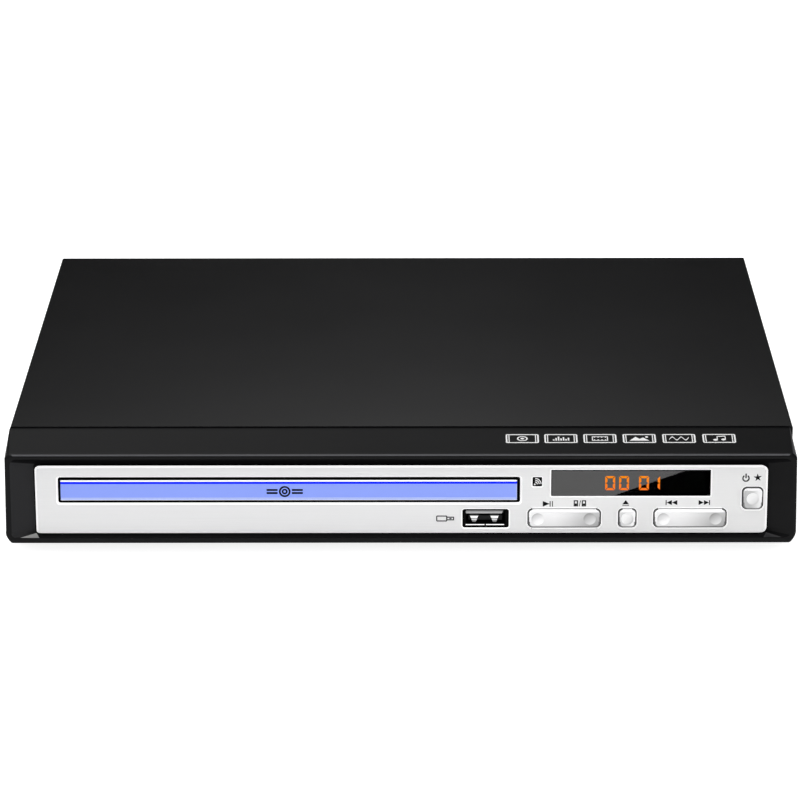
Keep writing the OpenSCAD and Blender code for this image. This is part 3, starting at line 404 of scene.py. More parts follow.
PATTERNS = {"grain": pattern_group(fine_grain, 3000.0, 25.0, 0.5, 2.0),
            "brushed": pattern_group(brushed_lines, 5200.0, 18.0, 0.6, 3.0, (0.25, 1.0, 4.0)),
            "zinc": pattern_group(zinc_crystals, 160.0, 30.0, 0.55, 3.0),
            "weave": pattern_group(board_weave, 700.0, 40.0, 0.4, 2.0)}
print("patterns:", ", ".join(PATTERNS))

# %% [markdown]
# # One recipe for all finishes
# A finish is a colour that varies a little with the pattern's tone, a roughness that varies with
# it too, a shallow bump from its height, and a lighter colour on marked faces: edge wear, where
# handling polishes plastic and thins paint, and a painted highlight where the lightening is
# strong. What stays the same all over is set on the shader itself.

# %% The finish recipe


def srgb(red, green, blue):
    """A screen colour, 0 to 255 each, as linear light with alpha 1."""
    share = np.array([red, green, blue]) / 255
    light = np.where(share <= 0.04045, share / 12.92, ((share + 0.055) / 1.055) ** 2.4)
    return (*light.tolist(), 1.0)


def shade(colour, factor):
    """A linear colour made lighter or darker, kept below 1."""
    return (*[min(1.0, c * factor) for c in colour[:3]], 1.0)


def finish(name, colour, rough, pattern="grain", scale=3000.0, cloud=25.0, tone=0.1, spread=0.06,
           bump=0.01, wear_and_highlight=1.25, metal=0.0, glow=None, fade=None, **sockets):
    """A Principled material. tone is the share by which the colour varies, spread the change in
    roughness, bump the height in mm, wear_and_highlight the factor that lightens marked faces, as
    edge wear and, where it is large, as a painted highlight, glow the strength with which the
    colour shines, which is painted light. fade names an attribute of painted sheen that multiplies
    the colour, which then may shine too."""
    made, tree, shader = new_material(name)
    group = node_in(tree, "ShaderNodeGroup", node_tree=PATTERNS[pattern], Scale=scale, Cloud=cloud)
    mix = node_in(tree, "ShaderNodeMix", {"Factor": group.outputs["Tone"]}, data_type="RGBA",
                  A=shade(colour, 1 - tone), B=shade(colour, 1 + tone))
    # Marked faces mix towards a lighter colour: edge wear, and a painted highlight where the factor is
    # large.
    mark = node_in(tree, "ShaderNodeAttribute", attribute_name="wear_and_highlight")
    wear_and_highlight_share = math_in(tree, "MULTIPLY", mark.outputs["Fac"], 0.8)
    worn_and_highlit = node_in(tree, "ShaderNodeMix", {"Factor": wear_and_highlight_share, "A": mix.outputs["Result"]},
                   data_type="RGBA", B=shade(colour, wear_and_highlight))
    colours = worn_and_highlit.outputs["Result"]
    if fade:
        share = node_in(tree, "ShaderNodeAttribute", attribute_name=fade)
        faded = node_in(tree, "ShaderNodeMix", {"Factor": share.outputs["Fac"], "B": colours},
                        data_type="RGBA", A=(0, 0, 0, 1))
        colours = faded.outputs["Result"]
        # The faded colour also glows: painted highlight.
        tree.links.new(colours, shader.inputs["Emission Color"])
    tree.links.new(colours, shader.inputs["Base Color"])
    varied = math_in(tree, "MULTIPLY_ADD", group.outputs["Tone"], 2 * spread)
    varied.node.inputs[2].default_value = rough - spread
    tree.links.new(varied, shader.inputs["Roughness"])
    if bump:
        relief = node_in(tree, "ShaderNodeBump", {"Height": group.outputs["Height"]},
                         Strength=0.6, Distance=bump * MM)
        tree.links.new(relief.outputs[0], shader.inputs["Normal"])
    # glow is painted light: the colour shines though the part is no lamp.
    if glow:
        set_inputs(shader, Emission_Color=colour, Emission_Strength=glow)
    set_inputs(shader, Metallic=metal, **sockets)
    return made


# %% [markdown]
# # The finishes
# Each one is named for what it is on the player, or for the painted light that it stands for.
# The cover has satin paint with a fine texture, the front frame is moulded and spark-eroded, the
# plate is pale and brushed along its length.

# %% Finishes of the case
# The black finishes lighten marked faces many times over: painted highlight lines along their edges.
cover_paint = finish("cover_paint", srgb(12, 12, 13), 0.2, scale=2600, tone=0.2, spread=0.03,
                     bump=0.003, wear_and_highlight=14.0, Specular_IOR_Level=0.16)
frame_plastic = finish("frame_plastic", srgb(18, 18, 19), 0.34, tone=0.4, spread=0.08, bump=0.012,
                       wear_and_highlight=16.0, Specular_IOR_Level=0.14)
# A darker copy of the frame's plastic for the sloping strip: painted shade.
strip_painted_shade = finish("strip_painted_shade", srgb(15, 15, 16), 0.34, tone=0.4, spread=0.08, bump=0.012,
                       wear_and_highlight=19.0, Specular_IOR_Level=0.14)
# A grey for the left web in the frame's recess: a painted highlight.
web_highlight = finish("web_highlight", srgb(138, 138, 138), 0.4, scale=2600, tone=0.25, Specular_IOR_Level=0.2)
# A dark finish without reflection for the recess walls: painted shade.
recess_painted_shade = finish("recess_painted_shade", srgb(22, 22, 23), 0.6, tone=0.3, bump=0.006,
                      Specular_IOR_Level=0.0)
plate_metal = finish("plate_metal", srgb(245, 245, 245), 0.4, "brushed", scale=5200, tone=0.075,
                     spread=0.05, bump=0.002)
# The plate's bevels glow white: a painted highlight.
plate_edge_highlight = finish("plate_edge_highlight", (0.95, 0.95, 0.95, 1), 0.3, "brushed", scale=5200, tone=0.01,
                    bump=0.0, Emission_Color=(1, 1, 1, 1), Emission_Strength=0.45)
rear_zinc = finish("rear_zinc", srgb(178, 180, 181), 0.38, "zinc", scale=150, spread=0.1, bump=0.002,
                   metal=0.75)
floor_zinc = finish("floor_zinc", srgb(172, 174, 176), 0.42, "zinc", scale=130, tone=0.12, spread=0.1,
                    bump=0.002, metal=0.7)
foot_rubber = finish("foot_rubber", srgb(30, 30, 30), 0.75, scale=1500, tone=0.2, bump=0.03)
black_screw = finish("black_screw", srgb(40, 40, 41), 0.35, scale=2500, tone=0.15, bump=0.004,
                     metal=0.6, wear_and_highlight=1.6)
zinc_screw = finish("zinc_screw", srgb(196, 196, 190), 0.3, scale=1800, bump=0.003, metal=0.9)

# %% Finishes of the front
# The keys' silver is scaled by its painted sheen and glows with it: painted highlight and shade.
key_silver = finish("key_silver", srgb(253, 253, 254), 0.32, scale=6000, cloud=60, tone=0.02,
                    spread=0.03, bump=0.001, fade="painted_sheen", Emission_Strength=0.16)
# The tray front's finishes glow a little, which is painted light; its white edge is a painted highlight and
# its pale band a painted reflection.
door_face = finish("door_face", srgb(142, 165, 255), 0.3, scale=2500, cloud=8, tone=0.02, spread=0.03,
                   bump=0.001, glow=0.1)
door_line = finish("door_line", srgb(0, 36, 255), 0.3, scale=2500, tone=0.03, bump=0.001,
                   Specular_IOR_Level=0.1, glow=0.25)
door_edge_highlight = finish("door_edge_highlight", (0.95, 0.96, 0.98, 1), 0.25, scale=2500, tone=0.01, bump=0.0,
                   Emission_Color=(0.95, 0.97, 1, 1), Emission_Strength=0.3)
door_band_reflection = finish("door_band_reflection", srgb(178, 195, 255), 0.28, scale=2500, tone=0.02, bump=0.001, glow=0.1)
sign_ink = finish("sign_ink", srgb(12, 12, 13), 0.6, scale=5000, tone=0.25, bump=0.002,
                  Specular_IOR_Level=0.1)
badge_ink = finish("badge_ink", srgb(240, 240, 240), 0.5, scale=5000, tone=0.04, bump=0.002)
black_part = finish("black_part", srgb(20, 20, 21), 0.45, tone=0.2, bump=0.006, Specular_IOR_Level=0.3)
# Black for the IR window and the socket's surround, and for walls and gaps where shade falls: painted shade.
black_and_painted_shade = finish("black_and_painted_shade", srgb(8, 8, 8), 0.6, tone=0.2, bump=0.004, wear_and_highlight=1.0,
                   Specular_IOR_Level=0.05)

# %% Finishes of the inside
board_green = finish("board_green", srgb(34, 92, 54), 0.35, "weave", tone=0.16, bump=0.004)
board_tan = finish("board_tan", srgb(178, 146, 96), 0.5, "weave", scale=500, tone=0.12, bump=0.004)
loader_black = finish("loader_black", srgb(52, 52, 54), 0.48, scale=2600, tone=0.14, wear_and_highlight=1.4)
tray_black = finish("tray_black", srgb(36, 36, 38), 0.42, scale=3200, tone=0.14, bump=0.008, wear_and_highlight=1.6)
motor_can = finish("motor_can", srgb(186, 187, 190), 0.28, "brushed", scale=3500, tone=0.08, bump=0.002,
                   metal=0.9)
nickel = finish("nickel", srgb(200, 200, 196), 0.18, scale=1500, tone=0.05, bump=0.001, metal=1.0)
acetal = finish("acetal", srgb(226, 222, 206), 0.4, scale=2500, tone=0.05, bump=0.005)
bridge_zinc = finish("bridge_zinc", srgb(176, 178, 180), 0.36, "zinc", scale=170, spread=0.1,
                     bump=0.002, metal=0.75)
tape_yellow = finish("tape_yellow", srgb(214, 176, 66), 0.4, scale=1200)
sleeve_blue = finish("sleeve_blue", srgb(34, 40, 92), 0.3, scale=1500, bump=0.003)
bare_metal = finish("bare_metal", srgb(190, 192, 194), 0.35, "brushed", tone=0.08, bump=0.003,
                    metal=0.9)
nylon = finish("nylon", srgb(230, 227, 214), 0.45, scale=2200, tone=0.05, bump=0.006)
yellow_core = finish("yellow_core", srgb(238, 196, 24), 0.35, scale=2600, tone=0.06, bump=0.004)
white_core = finish("white_core", srgb(236, 236, 232), 0.35, scale=2600, tone=0.04, bump=0.004)
red_core = finish("red_core", srgb(196, 26, 26), 0.35, scale=2600, tone=0.08, bump=0.004)
brass = finish("brass", srgb(214, 188, 118), 0.25, scale=1800, tone=0.06, bump=0.001, metal=1.0)
smoke = finish("smoke", srgb(52, 52, 54), 0.02, scale=900, tone=0.05, spread=0.005, bump=0.0,
               Transmission_Weight=1.0, IOR=1.46)
lens_glass = finish("lens_glass", srgb(200, 214, 250), 0.03, scale=900, tone=0.03, spread=0.01,
                    bump=0.0, Transmission_Weight=1.0, IOR=1.5)
print(len(bpy.data.materials), "materials")

# %% [markdown]
# # Which node gets which finish
# Most nodes get a rounded copy. The width says how much of an edge is taken off: a fifth to a third
# of a millimetre on a moulding, about a tenth on a stamped sheet or a small part.

# %% Dress the nodes
ROUNDED = {
    "bottom_chassis": (floor_zinc, 0.12), "rear_panel": (rear_zinc, 0.1), "rubber_feet": (foot_rubber, 0.2),
    "cover_screws": (black_screw, 0.1), "chassis_screws": (zinc_screw, 0.12),
    "front_board": (board_green, 0.1), "key_switches": (black_part, 0.15), "ir_receiver": (black_part, 0.1),
    "usb_tongue": (black_part, 0.06), "led_display": (black_part, 0.1),
    "loader_base": (loader_black, 0.2), "disc_tray": (tray_black, 0.25), "loading_motor": (motor_can, 0.2),
    "motor_pulley": (acetal, 0.1), "pulley_gear": (acetal, 0.08), "drive_gear": (acetal, 0.08),
    "cam_slider": (acetal, 0.12), "clamp_bridge": (bridge_zinc, 0.12), "clamp_puck": (loader_black, 0.2),
    "traverse_frame": (loader_black, 0.2), "spindle_motor": (motor_can, 0.2),
    "turntable": (loader_black, 0.15), "pickup_sled": (loader_black, 0.2), "lens_holder": (black_part, 0.15),
    "feed_motor": (motor_can, 0.15), "power_board": (board_tan, 0.1), "transformer": (tape_yellow, 0.3),
    "power_capacitors": (sleeve_blue, 0.4), "heatsink": (bare_metal, 0.1), "fuse": (bare_metal, 0.1),
    "main_board": (board_green, 0.1), "board_chips": (black_part, 0.15), "board_connectors": (nylon, 0.15),
    "av_board": (board_green, 0.1), "av_jack_block": (black_part, 0.2), "av_jack_shells": (nickel, 0.08),
    "video_jack": (yellow_core, 0.12), "audio_left_jack": (white_core, 0.12),
    "audio_right_jack": (red_core, 0.12), "mains_inlet": (black_part, 0.3), "inlet_pins": (brass, 0.08),
}
PLAIN = {
    "ir_window": black_and_painted_shade, "drive_belt": foot_rubber, "damper_bushes": foot_rubber,
    "turntable_mat": foot_rubber, "guide_rods": nickel, "lead_screw": nickel, "objective_lens": lens_glass,
    "front_ribbon": nylon,
}
for node, (material, width) in ROUNDED.items():
    dress(softened(node, width), material, BODY_OF[node], node)
for node, material in PLAIN.items():
    NODES[node].data.materials.clear()
    NODES[node].data.materials.append(material)
print(len(ROUNDED), "rounded nodes,", len(PLAIN), "plain ones")

# %% [markdown]
# # The cover
# Black pieces are read by their edges. The cover's front edge takes a painted highlight, a paler
# tone along it, and its other rounded edges a little of the same, as wear and painted highlight.
# The faces are picked by where they lie and by how far they tilt from the viewer. The imported
# cover's two long folds are rounder than those of a thin sheet, so they are tightened, and its
# sides and back are moved by a few tenths of a millimetre, as a sheet stands that springs a
# little after it is folded.

# %% Cover
FOLD_X, COVER_FOLD_Z, FRAME_FOLD_Z = 125.35, 36.7, 36.0
LEFT_IN, RIGHT_OUT, RIGHT_FLARE, BACK_OUT = 0.05, 0.28, 0.25, 0.7
COVER_FOLD_SHARE, FRAME_FOLD_SHARE = 0.35, 0.2
SIDE_X, BACK_DEPTH = 124, 2.5                  # corners beyond these belong to a side or the back


def tighten_fold(corners, chosen, middle, share):
    """Shrinks the round of a lengthwise fold to `share` of its radius while the flat walls stay in
    their planes: a corner that lies v from the fold's middle moves by (1 - share) (|v| - v)."""
    away = np.stack([np.abs(corners[chosen, 0]), corners[chosen, 2]], -1) - middle
    shift = (1 - share) * (np.hypot(*away.T)[:, None] - away)
    corners[chosen, 0] += np.sign(corners[chosen, 0]) * shift[:, 0]
    corners[chosen, 2] += shift[:, 1]


cover = dress(softened("top_cover", 0.34), cover_paint, "case", "top_cover")
cover_low, cover_high = edges_of("top_cover")
corners = corners_of(cover)
in_fold = (np.abs(corners[:, 0]) > FOLD_X - 0.01) & (corners[:, 2] > COVER_FOLD_Z - 0.01)
tighten_fold(corners, in_fold, (FOLD_X, COVER_FOLD_Z), COVER_FOLD_SHARE)
forward_share = (cover_high[1] - corners[:, 1]) / (cover_high[1] - cover_low[1])
sideways = np.where(corners[:, 0] < 0, LEFT_IN, RIGHT_OUT + RIGHT_FLARE * forward_share)
corners[:, 0] += sideways * (np.abs(corners[:, 0]) > SIDE_X)
corners[:, 1] += BACK_OUT * (corners[:, 1] > cover_high[1] - BACK_DEPTH)
move_corners(cover, corners)
middle, _, tilt = faces_of(cover)
# A painted highlight line along the cover's front edge; its other rounded faces keep a tenth of their mark.
front_highlight = (middle[:, 1] < cover_low[1] + 0.5) & (tilt > 12) & (tilt < 80)
set_wear_and_highlight(cover, np.where(front_highlight, 0.9, 0.1 * wear_and_highlight_of(cover)))
print("cover:", int(in_fold.sum()), "corners in its folds,", int(front_highlight.sum()), "faces in its line")

# %% [markdown]
# # The front frame
# The frame takes four finishes. Its rim shows a painted highlight line along the top and a weaker
# one at the foot. The strip between the rim and the cover is a shade deeper than the front, and
# the walls of the recess are the darkest: both are painted shade. A small web lies in each lower
# corner of the recess: the left one takes a grey painted highlight and the right one a weaker one.
# The left slanted wall of the recess and the strip's right end are lightened as painted light.

# %% Finishes of the frame
RIM_X, HIGHLIGHT_END_X, STRIP_FOOT_Z = 125.7, 124.8, 33.8
WEB_X, WEB_LOW, WEB_HIGH, WEB_BACK = 118.5, 6.4, 7.8, -108.2
RECESS_X, RECESS_LOW, RECESS_HIGH, RECESS_BACK = 126.1, 6.3, 33.7, -105.4
bezel = dress(softened("front_bezel", 0.24), [frame_plastic, recess_painted_shade, strip_painted_shade, web_highlight],
              "case", "front_bezel")
bezel_low, bezel_high = edges_of("front_bezel")
middle, normal, tilt = faces_of(bezel)
x, y, z = middle.T
on_left, behind_rim = x < 0, y > bezel_low[1] + 0.1
at_rim = (y < bezel_low[1] + 0.9) & (np.abs(x) < RIM_X)
# Painted highlight lines on the rim: along its top and, weaker, at its foot.
rim_highlight = at_rim & (x < HIGHLIGHT_END_X) & (z > STRIP_FOOT_Z) & (tilt > 20) & (tilt < 56)
foot_highlight = at_rim & (z < bezel_low[2] + 0.8) & (tilt < -15) & (tilt > -62)
web = (np.abs(np.abs(x) - WEB_X) < 3) & (z > WEB_LOW) & (z < WEB_HIGH) & (y < WEB_BACK)
web &= (tilt > 5) & (tilt < 88)
# Painted light on the left slanted wall of the recess and on the strip's right end.
lit_slant = (normal[:, 0] > 0.3) & (normal[:, 1] < -0.5) & behind_rim & (x < -115)
cheek_highlight = (normal[:, 0] > 0.45) & (x > 126) & (z > 33.5) & (y > bezel_low[1] + 0.8)
# Marks for lightening: painted highlight on the lines, the webs, the slant and the cheek, and faint edge
# wear elsewhere.
share = np.select([rim_highlight, foot_highlight, web & on_left, web, lit_slant, cheek_highlight],
                  [1.0, 0.3, 0.4, 0.25, 0.21, 0.8], 0.05 * wear_and_highlight_of(bezel))
set_wear_and_highlight(bezel, share)
# The faces under the rim's line and the shaded walls of the recess take the dark finish: painted shade.
under_rim_shade = at_rim & (z > STRIP_FOOT_Z) & (tilt > 3) & (tilt <= 20)
in_recess = behind_rim & (y < RECESS_BACK) & (z > RECESS_LOW) & (z < RECESS_HIGH) & (np.abs(x) < RECESS_X)
left_ledge = (x < -117) & (z < 12) & (normal[:, 2] > 0.3)
shaded_wall = (np.abs(normal[:, 2]) > 0.3) | (y > RECESS_BACK - 0.9)
painted_shade = under_rim_shade | (in_recess & shaded_wall & ~web & ~left_ledge)
# The strip takes the darker copy of the plastic: painted shade.
strip = (tilt > 62) & (z > 35) & (y > bezel_low[1] + 0.8) & (y < cover_low[1])
choose_finish(bezel, np.select([web & on_left, painted_shade, strip], [3, 1, 2], 0))
print("frame:", int(rim_highlight.sum()), int(foot_highlight.sum()), "faces in its lines,", int(web.sum()),
      "in the webs,", int(painted_shade.sum()), "dark ones")

# %% [markdown]
# # The frame's walls
# A moulding isn't a plain box. Its long upper edges are round at the front and tight where they
# meet the cover. Its walls stand out a little at the foot and towards the back, and draw in near
# the top. Each of these is a share from 0 to 1 that grows with a corner's height or depth, and
# the millimetres that it moves the wall by stand before it. The webs are drawn out to their full
# width, and the strip's end is lifted towards the cover.

# %% Walls of the frame
STRIP_LIFT = 0.25
WALL_X = 124.4
FOOT_TOP, FOOT_DOWN = 8.9, -1.4                # where each share starts, and its length
BACK_START, BACK_DEEP = 2, 15
NEAR_TOP, TOP_UP = 33.6, 1.2
corners = corners_of(bezel)
web_corners = sorted({v for f in np.flatnonzero(web) for v in bezel.data.polygons[f].vertices})
corners[web_corners, 0] += np.where(corners[web_corners, 0] < 0, -1.5, 2.0)
left_wall, right_wall = corners[:, 0] < -WALL_X, corners[:, 0] > WALL_X
before_cover = cover_low[1] - corners[:, 1]
in_end_fold = (before_cover < 0.75) & (before_cover > 0.1)
in_end_fold &= (np.abs(corners[:, 0]) > FOLD_X - 0.01) & (corners[:, 2] > FRAME_FOLD_Z - 0.01)
tighten_fold(corners, in_end_fold, (FOLD_X, FRAME_FOLD_Z), FRAME_FOLD_SHARE)
at_foot = ramp(corners[:, 2], FOOT_TOP, FOOT_DOWN)
at_back = ramp(corners[:, 1], bezel_low[1] + BACK_START, BACK_DEEP)
near_top = ramp(corners[:, 2], NEAR_TOP, TOP_UP)
left_out = 0.42 * at_foot + 0.2 * at_back * (1 - near_top) + (0.7 * at_back - 0.57) * near_top
right_out = 0.2 * at_foot + (0.3 + 0.38 * at_back) * (1 - near_top) - (0.3 + 0.1 * at_back) * near_top
corners[:, 0] += right_wall * right_out - left_wall * left_out
strip_end = (before_cover < 1.8) & (before_cover > 0.1) & (corners[:, 2] > 37)
corners[strip_end, 2] += STRIP_LIFT
move_corners(bezel, corners)
print("frame:", int(in_end_fold.sum()), "corners in its folds' ends,", int(strip_end.sum()), "lifted")

# %% [markdown]
# # The silver plate
# Its outer edge, the tray opening and every other opening are bevelled, and the bevels glow as
# bright lines: a painted highlight. The imported node has the first two bevels; the others are cut
# here. Some openings are also made a little wider or rounder than packed. Only corners are moved
# for that, and the flat front is then filled anew between its loops, because thin old faces could
# fold over.

# %% Openings of the plate
TOP_GAP, PLATE_TOP = 0.42, 30.35
SLOT, SLOT_HALF = (-35.95, 21.85), (74.6, 4.25)
USB_X, USB_Z = 27.59, 12.63
USB_HALF = (7.26, 3.02)
KEYS_Z = 12.6
PLAY_X, EJECT_X, SKIP_X = 53.07, 73.5, 93.79
POWER = (113.9, 19.4)
ROCKER_OPENING, EJECT_OPENING, POWER_OPENING = (11.9, 3.35), (3.05, 3.35), (3.5, 3.9)


def front_edge_of_opening(edge):
    """True for an edge between the plate's front face and a wall that runs straight back."""
    first, second = (f.normal.y for f in edge.link_faces)
    return min(first, second) < -0.99 and max(first, second) > -0.1


def reshape_opening(corners, centre, half, left=0.0, right=0.0, low=0.0, rounder=0.0, radius=1.0):
    """Moves the corners of one opening in the plate: its sides outwards by `left`, `right` and
    `low`, and its round corners from `radius` to `radius + rounder`. A point at an angle on the old
    arc goes to the same angle on the new one."""
    from_middle = corners[:, [0, 2]] - centre
    inside = (np.abs(from_middle) < np.array(half) + 0.6).all(1)
    side = np.sign(from_middle)
    from_arc = np.abs(from_middle) - (np.array(half) - radius)
    on_arc = inside & (from_arc > -1e-3).all(1)
    length = np.maximum(np.hypot(*from_arc.T), 1e-6)
    shift = rounder * (from_arc / length[:, None] - 1) * on_arc[:, None]
    corners[:, 0] += side[:, 0] * shift[:, 0] + inside * np.where(side[:, 0] < 0, -left, right)
    corners[:, 2] += side[:, 1] * shift[:, 1] - inside * np.where(side[:, 1] < 0, low, 0.0)


def refill_front(piece, y):
    """Replaces the faces that lie on the plane at depth y by fresh triangles between its loops."""
    work = bmesh.new()
    work.from_mesh(piece.data)
    old = [f for f in work.faces
           if abs(f.normal.y) > 0.999 and abs(f.calc_center_median().y / MM - y) < 0.02]
    bmesh.ops.delete(work, geom=old, context="FACES")
    bmesh.ops.triangle_fill(work, use_beauty=True, edges=[e for e in work.edges if e.is_boundary],
                            normal=(0, -1, 0))
    for face in work.faces:
        face.smooth = True
    work.to_mesh(piece.data)
    work.free()


print("keys at", PLAY_X, EJECT_X, SKIP_X, "and", POWER[0], "and the socket at", USB_X)

# %% [markdown]
# # Three finishes for the plate
# Faces that lean away from the viewer take a second, brighter finish that glows, a painted
# highlight, and the walls behind them a black one, painted shade, so that a dark gap shows round
# the tray. The upper edge is let down a little, which opens the same dark gap between the plate
# and its frame.

# %% Plate with bright edges
plate = softened("front_plate", 0.32, pick=front_edge_of_opening)
dress(plate, [plate_metal, plate_edge_highlight, black_and_painted_shade], BODY_OF["front_plate"], "front_plate")
corners = corners_of(plate)
at_end = ramp(corners[:, 2], 28, 3) * (np.abs(corners[:, 0] - 0.3) > 115.5)
corners[:, 2] -= TOP_GAP * np.where(corners[:, 2] > PLATE_TOP, 1.0, at_end)
reshape_opening(corners, SLOT, SLOT_HALF, left=0.18, right=0.1, low=0.22)
reshape_opening(corners, (USB_X, USB_Z), USB_HALF, left=0.2, right=0.25, low=0.28,
                rounder=0.2, radius=0.5)
for x in (PLAY_X, SKIP_X):
    reshape_opening(corners, (x, KEYS_Z), ROCKER_OPENING, rounder=0.5)
reshape_opening(corners, (EJECT_X, KEYS_Z), EJECT_OPENING, rounder=0.4)
reshape_opening(corners, POWER, POWER_OPENING, rounder=0.4)
move_corners(plate, corners)
refill_front(plate, edges_of("front_plate")[0][1])
plate.data.set_sharp_from_angle(angle=math.radians(12))
normal = faces_of(plate)[1]
# Finishes: 0 the brushed front, 1 a painted highlight on the bevels, 2 painted shade in black on the walls
# and back.
kind = np.select([normal[:, 1] < -0.985, normal[:, 1] < -0.15], [0, 1], 2)
choose_finish(plate, kind)
print("plate:", np.bincount(kind).tolist(), "faces in front, on edges and on walls")

# %% [markdown]
# # The tray's front piece
# It is a long bar of pale blue plastic with a bevel all round, a narrow strong blue line under
# its top edge and a paler band at its foot. Its light is partly painted: the bevel's white is a
# painted highlight, the pale band and the pale right end are a painted reflection, the faces
# behind are black as painted shade, and the blue finishes glow a little as painted light. Its
# section is a short profile in depth and height, carried along X. Near each end the profile draws
# back, which makes the end bevels.

# %% Tray front
DOOR_BEVEL = 0.42
RIGHT_GAP = 0.22
REFLECTION_LOW, REFLECTION_HIGH = 0.25, 1.08               # the paler band, above the foot
LINE_LOW, LINE_HIGH = 1.22, 0.48               # the blue line, below the top
door_low, door_high = edges_of("tray_front")
tall = door_high[2] - door_low[2]


def door_profile(drawn):
    """Depth behind the face and height above the foot of each corner of the section, from the
    back's lower corner round the face to its upper corner; `drawn` draws the face back."""
    face = [(0.7, 0.0), (0.42, 0.05), (0.2, 0.16), (0.1, 0.3), (0.0, 1.06), (0.0, 1.1),
            (0.0, tall - 1.28), (0.0, tall - 1.24), (0.07, tall - 1.17), (0.07, tall - 1.14),
            (0.07, tall - 0.5), (0.06, tall - 0.48), (0.0, tall - 0.45), (0.03, tall - 0.28),
            (0.12, tall - 0.07), (0.3, tall - 0.01), (0.6, tall)]
    back = door_high[1] - door_low[1]
    return np.array([(back, 0.0)] + [(d + drawn, z) for d, z in face] + [(back, tall)])


door_left, door_right = door_low[0], door_high[0] - RIGHT_GAP
stations = [(0.0, DOOR_BEVEL), (0.12, 0.2), (DOOR_BEVEL, 0.0), (DOOR_BEVEL + 0.9, 0.0)]
ends = [(door_left + x, drawn) for x, drawn in stations]
ends += [(door_right - x, drawn) for x, drawn in reversed(stations)]
sections = []
for x, drawn in ends:
    section = door_profile(drawn)
    sections.append(np.stack([np.full(len(section), x), door_low[1] + section[:, 0],
                              door_low[2] + section[:, 1]], -1))
door = make_object("tray_front_bar", *skinned(sections))
door.data.set_sharp_from_angle(angle=math.radians(25))
dress(door, [door_face, door_line, door_edge_highlight, door_band_reflection, black_and_painted_shade], "tray", "tray_front")
middle, _, tilt = faces_of(door)
height = middle[:, 2] - door_low[2]
depth = middle[:, 1] - door_low[1]
from_left, from_right = middle[:, 0] - door_left, door_right - middle[:, 0]
at_end = np.minimum(from_left, from_right)
# Finishes: 2 painted highlight on the bevel, 0 the face, 1 the blue line, 3 painted reflection in the band
# and at the right end, 4 painted shade in black on the faces behind.
kind = np.full(len(middle), 2)
kind[(height > REFLECTION_HIGH) & (height < tall - LINE_LOW)] = 0
kind[(height > tall - LINE_LOW) & (height < tall - LINE_HIGH)] = 1
kind[(height > REFLECTION_LOW) & (height < REFLECTION_HIGH)] = 3
kind[(from_right < DOOR_BEVEL) & (height > REFLECTION_HIGH) & (height < tall - LINE_LOW - 0.04)] = 3
kind[(depth > 0.3) & (height > tall - 0.2)] = 4
kind[(depth > 0.62) | (tilt < -70) | (at_end < 0.12)] = 4
choose_finish(door, kind)
print("tray front:", np.bincount(kind, minlength=5).tolist(), "faces of each finish")

# %% [markdown]
# # The face of a key
# The face is a height field: a shallow bowl is sunk wherever a point lies within a dimple's
# radius. Light and shade on the silver are painted: a painted sheen, kept as a value at each
# point, falls towards one end of the key, and inside a dimple it climbs from one side to the other.

# %% Dimples and sheen
KEY_RIM, KEY_STEP = 0.34, 0.09
RIM_SHADOW, SHADOW_SHEEN = 0.26, 0.13
DIMPLE_R, DIMPLE_DEPTH = 2.0, 0.42


def bowl(x, z, dimples):
    """Depth of the dimples at each point: D times one minus the squared distance in radii, with
    a soft lip, so that the bowl is round at its bottom and meets the face in a fine edge."""
    depth = np.zeros_like(x)
    for cx, cz in dimples:
        away = ((x - cx) ** 2 + (z - cz) ** 2) / DIMPLE_R ** 2
        depth += DIMPLE_DEPTH * np.clip(1 - away, 0, 1) ** 0.85
    return depth


def painted_sheen(x, z, centre, half, face, dimples):
    """The painted sheen at each point, light and shade painted into the silver, 1 where it is
    palest. `face` holds its value at the left end, at the right end, and how much it gains from
    the middle to the top. Between the ends it follows 3s^2 - 2s^3. A dimple has its own value,
    climbs towards (`to_x`, `to_z`), and has a dark crescent of painted shade on the other side."""
    left, right, rise = face
    share = ramp((x - centre[0]) / half[0], -0.4, 1.4)
    sheen = left + rise * (z - centre[1]) / half[1] + (right - left) * share ** 2 * (3 - 2 * share)
    for cx, cz, value, to_x, to_z, shade_crescent in dimples:
        across, upward = (x - cx) / DIMPLE_R, (z - cz) / DIMPLE_R
        away = np.hypot(across, upward)
        climb = across * to_x + upward * to_z
        turned_away = np.clip(-climb / math.hypot(to_x, to_z), 0, 1)
        edge = ramp(away, 0.6, 0.4) ** 2 * (0.03 + shade_crescent * turned_away)
        inside = ramp(away, 1.03, -0.08)
        sheen = sheen * (1 - inside) + inside * (value + climb - edge)
    return np.clip(sheen, 0, 1)


def inset_of(x, z, centre, half, radius):
    """How far a point lies inside a rounded rectangle's outline."""
    out_x, out_z = np.abs(x - centre[0]) - half[0] + radius, np.abs(z - centre[1]) - half[1] + radius
    from_arc = np.hypot(np.maximum(out_x, 0), np.maximum(out_z, 0))
    return radius - from_arc - np.minimum(np.maximum(out_x, out_z), 0)


def cap_painted_sheen(at, front, centre, half, radius, face, dimples, highlight_left):
    """The painted sheen at each corner of a cap: that of its face, 1 on its rim along the top and
    on one side as a painted highlight, and a low value as painted shadow round its rim, which
    widens towards the foot."""
    x, y, z = at.T
    sheen = painted_sheen(x, z, centre, half, face, dimples)
    from_side = half[0] + (x - centre[0]) * (1 if highlight_left else -1)
    from_top = half[1] - (z - centre[1])
    sheen[(np.minimum(from_side, from_top) < KEY_RIM + 0.36) & (y < front + 1)] = 1.0
    shadow = RIM_SHADOW - RIM_SHADOW * (z - centre[1]) / half[1]
    sheen[inset_of(x, z, centre, half, radius) < shadow] = SHADOW_SHEEN
    return sheen


